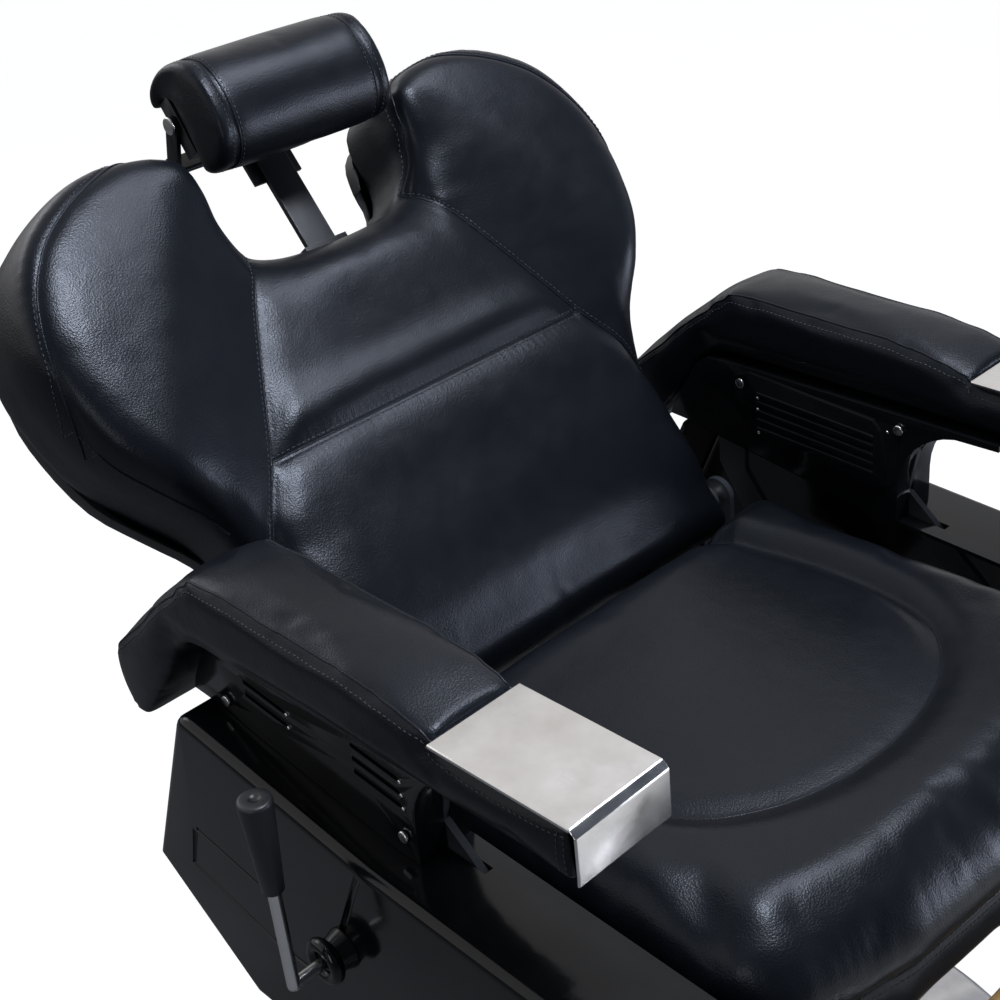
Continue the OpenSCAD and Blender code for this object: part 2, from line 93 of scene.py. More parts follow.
def take(piece):
    """Selects one piece alone and makes it the active one."""
    if bpy.context.object and bpy.context.object.mode != "OBJECT":
        bpy.ops.object.mode_set(mode="OBJECT")
    bpy.ops.object.select_all(action="DESELECT")
    piece.select_set(True)
    bpy.context.view_layer.objects.active = piece
    return piece


def shape(piece, kind, **settings):
    """Adds a modifier with its settings and applies it."""
    take(piece)
    change = piece.modifiers.new(kind.lower(), kind)
    for name, value in settings.items():
        setattr(change, name, value)
    bpy.ops.object.modifier_apply(modifier=change.name)
    return piece


def new_piece(name, points, faces):
    """A mesh piece from points in metres."""
    mesh = bpy.data.meshes.new(name)
    mesh.from_pydata([tuple(p) for p in points], [], faces)
    mesh.validate()
    piece = bpy.data.objects.new(name, mesh)
    bpy.context.scene.collection.objects.link(piece)
    return piece


def settle(piece, angle=40):
    """Applies a piece's place, closes its doubles, turns its faces out and smooths its shading."""
    take(piece)
    bpy.ops.object.transform_apply(location=True, rotation=True, scale=True)
    bpy.ops.object.mode_set(mode="EDIT")
    bpy.ops.mesh.select_all(action="SELECT")
    bpy.ops.mesh.remove_doubles(threshold=0.00001)
    bpy.ops.mesh.normals_make_consistent(inside=False)
    bpy.ops.object.mode_set(mode="OBJECT")
    bpy.ops.object.shade_smooth_by_angle(angle=math.radians(angle))
    return piece


def dress(piece, body, slot, finish, *stands_for):
    """Gives a piece its finish and body, and hides the nodes that it stands for."""
    piece.data.materials.clear()
    piece.data.materials.append(FINISHES[finish])
    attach(piece, body)
    if stands_for:
        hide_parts(*stands_for)
    return piece


def eased(node, name, width, segments=3, angle=30):
    """A copy of a CAD node, merged, with its sharp edges rounded."""
    piece = bpy.data.objects.new(name, NODES[node].data.copy())
    bpy.context.scene.collection.objects.link(piece)
    take(piece)
    bpy.ops.object.mode_set(mode="EDIT")
    bpy.ops.mesh.select_all(action="SELECT")
    bpy.ops.mesh.remove_doubles(threshold=0.00001)
    bpy.ops.mesh.dissolve_limited(angle_limit=math.radians(0.5))
    bpy.ops.object.mode_set(mode="OBJECT")
    shape(piece, "BEVEL", width=width * MM, segments=segments, limit_method="ANGLE",
          angle_limit=math.radians(angle), harden_normals=False, miter_outer="MITER_ARC")
    take(piece)
    bpy.ops.object.shade_smooth_by_angle(angle=math.radians(35))
    return piece


def get_points(piece):
    co = np.empty(len(piece.data.vertices) * 3)
    piece.data.vertices.foreach_get("co", co)
    return co.reshape(-1, 3)


def set_points(piece, co):
    piece.data.vertices.foreach_set("co", np.asarray(co, float).ravel())
    piece.data.update()


def get_normals(piece):
    no = np.empty(len(piece.data.vertices) * 3)
    piece.data.vertices.foreach_get("normal", no)
    return no.reshape(-1, 3)


# ---- curves drawn through given points ----

def flowing(points, steps=6, closed=True):
    """A smooth curve through given points."""
    p = np.asarray(points, float)
    n = len(p)
    out = []
    last = n if closed else n - 1
    for i in range(last):
        if closed:
            a, b, c, d = p[i - 1], p[i], p[(i + 1) % n], p[(i + 2) % n]
        else:
            a, b, c, d = p[max(i - 1, 0)], p[i], p[i + 1], p[min(i + 2, n - 1)]
        for k in range(steps):
            t = k / steps
            out.append(0.5 * (2 * b + (c - a) * t + (2 * a - 5 * b + 4 * c - d) * t * t
                              + (3 * b - a - 3 * c + d) * t ** 3))
    if not closed:
        out.append(p[-1])
    return np.array(out)


def bow(cx, cy, r, a0, a1, steps=8):
    """Points on an arc, in degrees."""
    return [(cx + r * math.cos(math.radians(a0 + (a1 - a0) * i / steps)),
             cy + r * math.sin(math.radians(a0 + (a1 - a0) * i / steps)))
            for i in range(steps + 1)]


def mirrored(points):
    return [(-x, y) for x, y in points]


def evenly(path, pitch):
    """The same path with its points a fixed distance apart."""
    path = np.asarray(path, float)
    along = np.r_[0, np.cumsum(np.linalg.norm(np.diff(path, axis=0), axis=1))]
    count = max(int(along[-1] / pitch), 2)
    marks = np.linspace(0, along[-1], count + 1)
    return np.stack([np.interp(marks, along, path[:, k]) for k in range(path.shape[1])], 1)


def nearest(points, path, closed=True):
    """Distance from points to a path in a plane, and the unit direction away from the path."""
    path = np.asarray(path, float)
    a = path if closed else path[:-1]
    b = np.roll(path, -1, 0) if closed else path[1:]
    best = np.full(len(points), 1e9)
    away = np.zeros((len(points), 2))
    for start, end in zip(a, b):
        run = end - start
        size = float(run @ run)
        if size < 1e-9:
            continue
        t = np.clip(((points - start) @ run) / size, 0, 1)
        gap = points - (start + t[:, None] * run)
        far = np.hypot(gap[:, 0], gap[:, 1])
        closer = far < best
        best[closer] = far[closer]
        away[closer] = gap[closer]
    size = np.maximum(np.hypot(away[:, 0], away[:, 1]), 1e-9)
    return best, away / size[:, None]


def inside(points, outline):
    """Which points lie inside a closed outline."""
    outline = np.asarray(outline, float)
    hit = np.zeros(len(points), bool)
    x, y = points[:, 0], points[:, 1]
    for (x0, y0), (x1, y1) in zip(outline, np.roll(outline, -1, 0)):
        if y0 == y1:
            continue
        cross = ((y0 > y) != (y1 > y)) & (x < (x1 - x0) * (y - y0) / (y1 - y0) + x0)
        hit ^= cross
    return hit


def ease(t):
    t = np.clip(t, 0, 1)
    return t * t * (3 - 2 * t)


def hill(x, width):
    return np.exp(-(np.asarray(x, float) / width) ** 2)


# ---- padded pieces ----

def bolster(name, outline, low, high, low_round, high_round, voxel, shrink):
    """A closed padded body over an outline in the plane (u, v), thick along t, all in
    millimetres, with its two rims rounded. Returns the piece and its outline, wound counter-clockwise."""
    outline = np.asarray(outline, float)
    area = 0.5 * np.sum(outline[:, 0] * np.roll(outline[:, 1], -1)
                        - outline[:, 1] * np.roll(outline[:, 0], -1))
    if area < 0:
        outline = outline[::-1]
    n = len(outline)
    points = [(u, v, low) for u, v in outline] + [(u, v, high) for u, v in outline]
    faces = [list(range(n))[::-1], [n + i for i in range(n)]]
    faces += [[i, (i + 1) % n, n + (i + 1) % n, n + i] for i in range(n)]
    piece = new_piece(name, points, faces)
    shape(piece, "REMESH", mode="VOXEL", voxel_size=voxel, adaptivity=0.0)
    shape(piece, "SMOOTH", factor=0.5, iterations=3)
    p = get_points(piece)
    flat = p[:, :2]
    gap, away = nearest(flat, outline)
    within = inside(flat, outline)
    inward = np.where(within[:, None], away, -away)
    depth = np.where(within, gap, 0.0)
    middle = 0.5 * (low + high)
    low_r = low_round(flat) if callable(low_round) else np.full(len(p), float(low_round))
    high_r = high_round(flat) if callable(high_round) else np.full(len(p), float(high_round))
    radius = np.where(p[:, 2] < middle, low_r, high_r)
    core = np.empty_like(p)
    core[:, :2] = flat + np.maximum(radius - depth, 0)[:, None] * inward
    core[:, 2] = np.clip(p[:, 2], low + low_r, high - high_r)
    out = p - core
    size = np.maximum(np.linalg.norm(out, axis=1), 1e-6)
    p = core + out / size[:, None] * np.maximum(radius - shrink, 0.5)[:, None]
    set_points(piece, p)
    shape(piece, "SMOOTH", factor=0.5, iterations=4)
    return piece, outline


def inflate(piece, cap, pressure=4.0, frames=20):
    """Blows a pad up as a cloth shell in millimetres of travel, no point further than cap."""
    before = get_points(piece)
    set_points(piece, before * MM)
    take(piece)
    cloth = piece.modifiers.new("stuffing", "CLOTH")
    cloth.settings.quality = 4
    cloth.settings.mass = 0.3
    cloth.settings.tension_stiffness = 15
    cloth.settings.compression_stiffness = 15
    cloth.settings.shear_stiffness = 5
    cloth.settings.bending_stiffness = 0.5
    cloth.settings.use_pressure = True
    cloth.settings.uniform_pressure_force = pressure
    cloth.settings.effector_weights.gravity = 0
    cloth.collision_settings.use_collision = False
    cloth.collision_settings.use_self_collision = False
    scene = bpy.context.scene
    for step in range(1, frames + 1):
        scene.frame_set(step)
    bpy.ops.object.modifier_apply(modifier=cloth.name)
    scene.frame_set(1)
    after = get_points(piece) / MM
    move = after - before
    size = np.maximum(np.linalg.norm(move, axis=1), 1e-6)
    move *= np.minimum(1.0, cap / size)[:, None]
    set_points(piece, before + move)
    shape(piece, "SMOOTH", factor=0.4, iterations=2)
    return piece


def carve(p, normals, gap, seam, pull, mask=1.0):
    """Sinks the surface along a seam: (depth, width) of the stitched line and of the pull."""
    sink = seam[0] * hill(gap, seam[1]) + pull[0] * hill(gap, pull[1])
    return p - normals * (sink * mask)[:, None]


def finish_pad(piece, place):
    """Puts a pad that was drawn in millimetres into its place and smooths its shading."""
    piece.data.transform(place @ Matrix.Scale(MM, 4))
    take(piece)
    bpy.ops.object.mode_set(mode="EDIT")
    bpy.ops.mesh.select_all(action="SELECT")
    bpy.ops.mesh.normals_make_consistent(inside=False)
    bpy.ops.object.mode_set(mode="OBJECT")
    bpy.ops.object.shade_smooth()
    return piece


# ---- seams, welts and stitches laid on a pad ----

def skin_of(piece):
    return BVHTree.FromPolygons([v.co.copy() for v in piece.data.vertices],
                                [tuple(f.vertices) for f in piece.data.polygons])


def laid_on(skin, starts, aim, lift=0.0, reach=None):
    """Drops points onto a surface along a direction, and stands them off by lift. A point that
    passes the surface is left out, or goes to the nearest place beside it when reach is given."""
    out, lean = [], []
    for start in starts:
        hit, normal, _, _ = skin.ray_cast(Vector(start), Vector(aim))
        if hit is None and reach is None:
            continue
        if hit is None:
            hit, normal, _, _ = skin.find_nearest(Vector(start) + Vector(aim) * reach)
            out.append(hit + normal * lift)
            lean.append(normal)
            continue
        if normal.dot(Vector(aim)) > 0:
            normal = -normal
        out.append(hit + normal * lift)
        lean.append(normal)
    return np.array(out), np.array(lean)


def snapped(skin, starts, lift=0.0):
    """Moves points to the nearest place on a surface."""
    out, lean = [], []
    for start in starts:
        hit, normal, _, _ = skin.find_nearest(Vector(start))
        out.append(hit + normal * lift)
        lean.append(normal)
    return np.array(out), np.array(lean)


def stitch_shape():
    """One stitch: a short thread capsule 3.4 mm long, lying along X."""
    bpy.ops.object.select_all(action="DESELECT")
    bpy.ops.mesh.primitive_uv_sphere_add(segments=6, ring_count=4, radius=1.0)
    thread = bpy.context.object
    co = get_points(thread)[:, [2, 1, 0]] * np.array([1.7, 0.55, 0.45]) * MM
    faces = [tuple(f.vertices) for f in thread.data.polygons]
    bpy.data.objects.remove(thread)
    return co, faces


def stitches(name, rows, body, pitch=5.0, grow=1.0):
    """Rows of stitches along paths on a pad; each row is (points, normals)."""
    co, faces = stitch_shape()
    points, polygons = [], []
    for path, lean in rows:
        if len(path) < 3:
            continue
        path = np.asarray(path)
        along = np.r_[0, np.cumsum(np.linalg.norm(np.diff(path, axis=0), axis=1))]
        marks = np.arange(0.5 * pitch * MM, along[-1], pitch * MM)
        spots = np.stack([np.interp(marks, along, path[:, k]) for k in range(3)], 1)
        ups = np.stack([np.interp(marks, along, lean[:, k]) for k in range(3)], 1)
        ahead = np.stack([np.interp(marks + 0.5 * MM, along, path[:, k]) for k in range(3)], 1)
        behind = np.stack([np.interp(marks - 0.5 * MM, along, path[:, k]) for k in range(3)], 1)
        for spot, up, run in zip(spots, ups, ahead - behind):
            run = run / max(np.linalg.norm(run), 1e-9)
            side = np.cross(up, run)
            side /= max(np.linalg.norm(side), 1e-9)
            up = np.cross(run, side)
            turn = np.stack([run, side, up])
            first = len(points)
            points.extend(spot + (co * grow) @ turn)
            polygons.extend([tuple(first + i for i in f) for f in faces])
    piece = new_piece(name, points, polygons)
    take(piece)
    bpy.ops.object.shade_smooth()
    return dress(piece, body, "black_leather", "thread")


def welt(name, path, radius, body, finish="leather", slot="black_leather", closed=False):
    """A leather-covered cord laid along a path, radius in millimetres."""
    curve = bpy.data.curves.new(name, "CURVE")
    curve.dimensions = "3D"
    curve.bevel_depth = radius * MM
    curve.bevel_resolution = 3
    curve.use_fill_caps = not closed
    line = curve.splines.new("POLY")
    line.points.add(len(path) - 1)
    line.points.foreach_set("co", np.c_[path, np.ones(len(path))].ravel())
    line.use_cyclic_u = closed
    cord = bpy.data.objects.new(name, curve)
    bpy.context.scene.collection.objects.link(cord)
    take(cord)
    bpy.ops.object.convert(target="MESH")
    cord = bpy.context.object
    bpy.ops.object.shade_smooth()
    return dress(cord, body, slot, finish)


# ---- finishes ----

def tone(code):
    """An sRGB hex colour as the linear colour that the shader wants."""
    parts = [int(code[i:i + 2], 16) / 255 for i in (1, 3, 5)]
    return (*(c / 12.92 if c <= 0.04045 else ((c + 0.055) / 1.055) ** 2.4 for c in parts), 1.0)


def add(tree, kind, sockets=None, **settings):
    """Adds a shader node; a socket takes a value or another node's output."""
    node = tree.nodes.new("ShaderNode" + kind)
    for name, value in settings.items():
        setattr(node, name, value)
    for name, value in (sockets or {}).items():
        if isinstance(value, bpy.types.NodeSocket):
            tree.links.new(value, node.inputs[name])
        else:
            node.inputs[name].default_value = value
    return node


def surface(name, **constants):
    """A new material with its shader's constants set: (tree, shader, Object coordinates)."""
    made = bpy.data.materials.new(name)
    made.use_nodes = True
    tree = made.node_tree
    tree.nodes.clear()
    shader = add(tree, "BsdfPrincipled", {key.replace("_", " "): value for key, value in constants.items()})
    sheet = add(tree, "OutputMaterial")
    tree.links.new(shader.outputs["BSDF"], sheet.inputs["Surface"])
    spot = add(tree, "TexCoord").outputs["Object"]
    return made, tree, shader, spot


def patch(tree, spot, size, low, high, detail=3.0, rough=0.55, stretch=None):
    """Soft cloudy variation of a size in metres, spread between two values."""
    if stretch:
        spot = add(tree, "Mapping", {"Vector": spot, "Scale": stretch}).outputs["Vector"]
    cloud = add(tree, "TexNoise", {"Vector": spot, "Scale": 1 / size, "Detail": detail, "Roughness": rough})
    return add(tree, "MapRange", {"Value": cloud.outputs["Fac"], "From Min": 0.3, "From Max": 0.7,
                                  "To Min": low, "To Max": high}).outputs["Result"]


def blended(tree, share, one, other):
    """One colour passing into another."""
    mix = add(tree, "Mix", data_type="RGBA")
    for socket, value in ((mix.inputs[0], share), (mix.inputs[6], one), (mix.inputs[7], other)):
        if isinstance(value, bpy.types.NodeSocket):
            tree.links.new(value, socket)
        else:
            socket.default_value = value
    return mix.outputs[2]


def raised(tree, height, distance, strength=1.0, under=None):
    """A bump of a real height in metres, over another one."""
    sockets = {"Height": height, "Distance": distance, "Strength": strength}
    if under is not None:
        sockets["Normal"] = under
    return add(tree, "Bump", sockets).outputs["Normal"]


def worn(tree):
    """Where a surface has sharp edges, from 0 to 1."""
    edge = add(tree, "NewGeometry").outputs["Pointiness"]
    return add(tree, "MapRange", {"Value": edge, "From Min": 0.52, "From Max": 0.62}).outputs["Result"]


def leather():
    """PVC-coated upholstery leather, calendered and stretched over foam: near black with a
    blue cast, a fine pebble that breaks up a broad satin sheen, and paler where it is pulled."""
    made, tree, shader, spot = surface("upholstery_leather_black", Specular_IOR_Level=0.26,
                                       Specular_Tint=tone("#e6ecf6"))
    cloud = patch(tree, spot, 0.16, 0.0, 1.0, 2.0)
    body = blended(tree, cloud, tone("#0c0f13"), tone("#111419"))
    # grain cells 1.5 mm wide: the real ones are about 0.7 mm, too fine to show
    cells = add(tree, "TexVoronoi", {"Vector": spot, "Scale": 1 / 0.0015, "Randomness": 1.0})
    cells = cells.outputs["Distance"]
    body = blended(tree, add(tree, "MapRange", {"Value": cells, "From Min": 0.0, "From Max": 0.9,
                             "To Min": 0.0, "To Max": 0.35}).outputs["Result"], body, tone("#07080b"))
    body = blended(tree, add(tree, "Math", {0: worn(tree), 1: 0.35}, operation="MULTIPLY").outputs[0],
                   body, tone("#232931"))
    tree.links.new(body, shader.inputs["Base Color"])
    sheen = patch(tree, spot, 0.03, 0.29, 0.36, 5.0)
    tree.links.new(sheen, shader.inputs["Roughness"])
    dents = add(tree, "TexNoise", {"Vector": spot, "Scale": 1 / 0.05, "Detail": 2.0}).outputs["Fac"]
    pull = add(tree, "Mapping", {"Vector": spot, "Scale": (1.0, 1.0, 0.35),
                                 "Rotation": (0.4, 0.3, 0.5)}).outputs["Vector"]
    creases = add(tree, "TexNoise", {"Vector": pull, "Scale": 1 / 0.008, "Detail": 5.0,
                                     "Roughness": 0.6, "Distortion": 0.4}).outputs["Fac"]
    skin = raised(tree, dents, 0.0012)
    skin = raised(tree, creases, 0.00016, 0.6, skin)
    skin = raised(tree, cells, 0.00022, 0.55, skin)
    tree.links.new(skin, shader.inputs["Normal"])
    return made


def thread():
    """Bonded polyester sewing thread: twisted black strands, a little paler than the leather."""
    made, tree, shader, spot = surface("sewing_thread_black", Roughness=0.5, Specular_IOR_Level=0.5)
    # one turn of the twist about every 0.4 mm along its slant
    turns = add(tree, "TexWave", {"Vector": spot, "Scale": 1 / 0.0012, "Distortion": 2.0},
                bands_direction="DIAGONAL").outputs["Fac"]
    tree.links.new(blended(tree, turns, tone("#1b1e23"), tone("#3a3f47")), shader.inputs["Base Color"])
    tree.links.new(raised(tree, turns, 0.0001), shader.inputs["Normal"])
    return made


def chrome():
    """Nickel and chromium plate on polished steel: a mirror with faint polishing lines and
    the dull smears that hands leave."""
    made, tree, shader, spot = surface("chromium_plate_polished", Metallic=1.0)
    smear = patch(tree, spot, 0.03, 0.0, 1.0, 4.0)
    tree.links.new(blended(tree, smear, tone("#e4e3e2"), tone("#d3d1cf")), shader.inputs["Base Color"])
    lines = patch(tree, spot, 0.0014, 0.0, 0.05, 3.0, stretch=(1.0, 0.06, 1.0))
    haze = patch(tree, spot, 0.022, 0.14, 0.24, 5.0)
    both = add(tree, "Math", {0: lines, 1: haze}, operation="ADD").outputs[0]
    tree.links.new(both, shader.inputs["Roughness"])
    # the sheet under the plating is never quite flat: waves 20 mm long, 0.03 mm high
    waves = add(tree, "TexNoise", {"Vector": spot, "Scale": 1 / 0.02, "Detail": 1.0}).outputs["Fac"]
    tree.links.new(raised(tree, waves, 0.00003), shader.inputs["Normal"])
    return made


def gloss():
    """Injection-moulded ABS with a piano-black lacquer: deep gloss, faint orange peel,
    dust and hairline swirls."""
    made, tree, shader, spot = surface("lacquered_abs_black", Specular_IOR_Level=0.32)
    tree.links.new(blended(tree, patch(tree, spot, 0.08, 0.0, 1.0), tone("#07080a"), tone("#0f1113")),
                   shader.inputs["Base Color"])
    dust = patch(tree, spot, 0.0016, 0.0, 0.06, 2.0)
    cloud = patch(tree, spot, 0.05, 0.08, 0.14, 4.0)
    both = add(tree, "Math", {0: dust, 1: cloud}, operation="ADD").outputs[0]
    tree.links.new(both, shader.inputs["Roughness"])
    # orange peel 9 mm across
    peel = add(tree, "TexNoise", {"Vector": spot, "Scale": 1 / 0.009, "Detail": 1.0}).outputs["Fac"]
    tree.links.new(raised(tree, peel, 0.00006), shader.inputs["Normal"])
    return made


def satin():
    """Moulded ABS from a spark-eroded tool: charcoal, satin, with a grain 0.9 mm wide and
    scuffs where hands and floors meet it."""
    made, tree, shader, spot = surface("textured_abs_charcoal", Specular_IOR_Level=0.45)
    scuffs = patch(tree, spot, 0.012, 0.0, 0.4, 5.0, stretch=(1.0, 1.0, 0.25))
    body = blended(tree, scuffs, tone("#0e1012"), tone("#1b1d20"))
    body = blended(tree, add(tree, "Math", {0: worn(tree), 1: 0.5}, operation="MULTIPLY").outputs[0],
                   body, tone("#43474d"))
    tree.links.new(body, shader.inputs["Base Color"])
    tree.links.new(patch(tree, spot, 0.03, 0.38, 0.52), shader.inputs["Roughness"])
    spark = add(tree, "TexVoronoi", {"Vector": spot, "Scale": 1 / 0.0009}).outputs["Distance"]
    tree.links.new(raised(tree, spark, 0.00012, 0.5), shader.inputs["Normal"])
    return made


def painted():
    """Powder-coated steel: black, satin, with the coat's orange peel and bare rubbed edges."""
    made, tree, shader, spot = surface("powder_coated_steel_black", Specular_IOR_Level=0.3)
    body = blended(tree, patch(tree, spot, 0.03, 0.0, 1.0), tone("#0a0b0c"), tone("#131517"))
    body = blended(tree, worn(tree), body, tone("#33363a"))
    tree.links.new(body, shader.inputs["Base Color"])
    tree.links.new(patch(tree, spot, 0.02, 0.3, 0.45), shader.inputs["Roughness"])
    # the coat's peel is 2.5 mm across
    peel = add(tree, "TexNoise", {"Vector": spot, "Scale": 1 / 0.0025, "Detail": 1.0}).outputs["Fac"]
    tree.links.new(raised(tree, peel, 0.0001, 0.6), shader.inputs["Normal"])
    return made


def rubber():
    """Moulded nitrile rubber: dull black with a bloom of dust in its texture."""
    made, tree, shader, spot = surface("nitrile_rubber_black", Specular_IOR_Level=0.3)
    bloom = patch(tree, spot, 0.01, 0.0, 0.6, 5.0)
    tree.links.new(blended(tree, bloom, tone("#101112"), tone("#232425")), shader.inputs["Base Color"])
    tree.links.new(patch(tree, spot, 0.015, 0.62, 0.8), shader.inputs["Roughness"])
    pits = add(tree, "TexNoise", {"Vector": spot, "Scale": 1 / 0.0014, "Detail": 2.0}).outputs["Fac"]
    tree.links.new(raised(tree, pits, 0.00018, 0.7), shader.inputs["Normal"])
    return made


def bronze():
    """Turned leaded bronze: yellow-brown metal with rings from the lathe 0.25 mm apart."""
    made, tree, shader, spot = surface("turned_bronze", Metallic=1.0)
    tree.links.new(blended(tree, patch(tree, spot, 0.01, 0.0, 1.0), tone("#9a7a45"), tone("#7b5d31")),
                   shader.inputs["Base Color"])
    tree.links.new(patch(tree, spot, 0.006, 0.28, 0.42), shader.inputs["Roughness"])
    rings = add(tree, "TexWave", {"Vector": spot, "Scale": 1 / 0.0008, "Distortion": 1.0},
                bands_direction="Z").outputs["Fac"]
    tree.links.new(raised(tree, rings, 0.00005), shader.inputs["Normal"])
    return made


def plywood():
    """Sanded birch plywood: long pale grain with darker streaks, left unfinished."""
    made, tree, shader, spot = surface("birch_plywood", Specular_IOR_Level=0.3)
    grain = patch(tree, spot, 0.004, 0.0, 1.0, 6.0, stretch=(1.0, 0.08, 1.0))
    streaks = patch(tree, spot, 0.05, 0.0, 0.5, 3.0, stretch=(1.0, 0.2, 1.0))
    wood = blended(tree, grain, tone("#c9a878"), tone("#a88450"))
    tree.links.new(blended(tree, streaks, wood, tone("#8c6a3c")), shader.inputs["Base Color"])
    tree.links.new(patch(tree, spot, 0.01, 0.55, 0.7), shader.inputs["Roughness"])
    tree.links.new(raised(tree, grain, 0.0002, 0.5), shader.inputs["Normal"])
    return made


def bright():
    """Zinc-plated steel hardware: grey, half bright, with spangle and turning marks."""
    made, tree, shader, spot = surface("zinc_plated_steel", Metallic=1.0)
    tree.links.new(blended(tree, patch(tree, spot, 0.004, 0.0, 1.0), tone("#a9abae"), tone("#85888c")),
                   shader.inputs["Base Color"])
    tree.links.new(patch(tree, spot, 0.003, 0.22, 0.4), shader.inputs["Roughness"])
    marks = add(tree, "TexNoise", {"Vector": spot, "Scale": 1 / 0.002, "Detail": 3.0}).outputs["Fac"]
    tree.links.new(raised(tree, marks, 0.00006), shader.inputs["Normal"])
    return made


FINISHES.update(leather=leather(), thread=thread(), chrome=chrome(), gloss=gloss(), satin=satin(),
                painted=painted(), rubber=rubber(), bronze=bronze(), plywood=plywood(), bright=bright())
FINISH_OF_SLOT = {"chrome_plate": "chrome", "rubber_black": "rubber", "painted_steel": "painted",
                  "bright_steel": "bright", "bronze": "bronze", "plywood": "plywood",
                  "black_leather": "leather", "gloss_black_moulding": "gloss",
                  "satin_black_moulding": "satin"}
for part in frame["record"]["subparts"]:
    if part["node"] in NODES:
        held = NODES[part["node"]].data.materials
        held.clear()
        held.append(FINISHES[FINISH_OF_SLOT[part["material_slot"]]])


# ---- the camera, the lights and the floor ----

lens = bpy.data.cameras.new("camera")
lens.lens = 59.22
lens.sensor_width = 36.0
lens.clip_end = 60.0
camera = bpy.data.objects.new("camera", lens)
bpy.context.scene.collection.objects.link(camera)
camera.matrix_world = (Matrix.Translation((-0.8297, -0.7007, 1.3588))
                       @ Matrix.Rotation(math.radians(-41.5), 4, "Z")
                       @ Matrix.Rotation(math.radians(60.2), 4, "X")
                       @ Matrix.Rotation(math.radians(-6.0), 4, "Z"))
bpy.context.scene.camera = camera
bpy.context.scene.view_settings.view_transform = "Standard"


def softbox(name, place, aim, width, height, power, colour="#ffffff"):
    """A rectangular studio light, turned to face a point."""
    lamp = bpy.data.lights.new(name, "AREA")
    lamp.shape = "RECTANGLE"
    lamp.size, lamp.size_y = width, height
    lamp.energy = power
    lamp.color = tone(colour)[:3]
    stand = bpy.data.objects.new(name, lamp)
    bpy.context.scene.collection.objects.link(stand)
    stand.location = place
    stand.rotation_euler = (Vector(aim) - Vector(place)).to_track_quat("-Z", "Y").to_euler()
    return stand


softbox("overhead", (0.95, -0.1, 2.5), (0.0, 0.2, 0.9), 0.7, 0.7, 17, "#eef3ff")
softbox("front_wall", (2.3, -2.1, 0.7), (0.1, -0.26, 0.5), 1.9, 0.9, 50, "#e6edff")
softbox("lobe_top", (0.05, -0.4, 2.5), (-0.1, 0.3, 1.1), 0.4, 0.4, 40, "#eef3ff")
softbox("side_strip", (-2.3, -0.7, 1.25), (-0.3, 0.0, 0.5), 0.35, 1.3, 6, "#fbfcff")
softbox("rear_bank", (-0.5, 2.3, 1.9), (0.0, 0.2, 0.7), 1.6, 1.0, 11, "#f6f9ff")

room = bpy.data.worlds.new("studio")
bpy.context.scene.world = room
room.use_nodes = True
air = room.node_tree
air.nodes.clear()
# the lens sees white air; the air that lights the chair is dimmer, and dimmest in front of it
seen = add(air, "LightPath").outputs["Is Camera Ray"]
glow = add(air, "Background", {"Color": tone("#ffffff"), "Strength": 1.0})
way = add(air, "SeparateXYZ", {"Vector": add(air, "TexCoord").outputs["Generated"]}).outputs["Y"]
behind = add(air, "MapRange", {"Value": way, "From Min": -0.3, "From Max": 0.45}).outputs["Result"]
wall = add(air, "MapRange", {"Value": behind, "To Min": 0.11, "To Max": 0.9}).outputs["Result"]
dim = add(air, "Background", {"Color": blended(air, behind, tone("#c0cde6"), tone("#f2f0f0")),
                              "Strength": wall})
both = add(air, "MixShader", {0: seen, 1: dim.outputs[0], 2: glow.outputs[0]})
air.links.new(both.outputs[0], add(air, "OutputWorld").inputs["Surface"])

bpy.ops.object.select_all(action="DESELECT")
bpy.ops.mesh.primitive_plane_add(size=24.0, location=(0, 0, 0))
floor = bpy.context.object
floor.name = "studio_floor"
made, tree, shader, spot = surface("studio_paper_white", Roughness=0.9, Specular_IOR_Level=0.1,
                                   Emission_Color=tone("#ffffff"))
tree.links.new(blended(tree, patch(tree, spot, 0.6, 0.0, 1.0), tone("#707274"), tone("#686a6c")),
               shader.inputs["Base Color"])
# painted light: the paper glows evenly white for the lens alone, and in front of the chair it glows as a painted
# pool of light that the chair reflects, though it is no lamp
lens_only = add(tree, "LightPath").outputs["Is Camera Ray"]
place = add(tree, "SeparateXYZ", {"Vector": spot})
ahead = add(tree, "MapRange", {"Value": place.outputs["Y"], "From Min": -0.4, "From Max": -0.9,
                               "To Min": 0.0, "To Max": 0.7}).outputs["Result"]
beyond = add(tree, "MapRange", {"Value": place.outputs["X"], "From Min": -0.4,
                                "From Max": 0.1}).outputs["Result"]
# painted pool of light: the patch of floor in front of the chair that glows for reflected rays
painted_light_pool = add(tree, "Math", {0: ahead, 1: beyond}, operation="MULTIPLY").outputs[0]
lit = add(tree, "Mix", {0: lens_only, 2: painted_light_pool, 3: 0.92}, data_type="FLOAT").outputs[0]
tree.links.new(lit, shader.inputs["Emission Strength"])
floor.data.materials.append(made)


# ---- the back: two padded lobes either side of a lumbar panel ----

BACK_HALF = [(0, -42), (200, -42), (228, -36), (233, 10), (233, 73), (235, 115), (243, 154), (256, 191),
             (284, 230), (313, 274), (328, 330), (330, 378), (313, 430), (284, 467), (236, 495),
             (189, 505), (142, 499), (113, 482), (103, 451), (100, 420), (76, 391), (32, 383)]
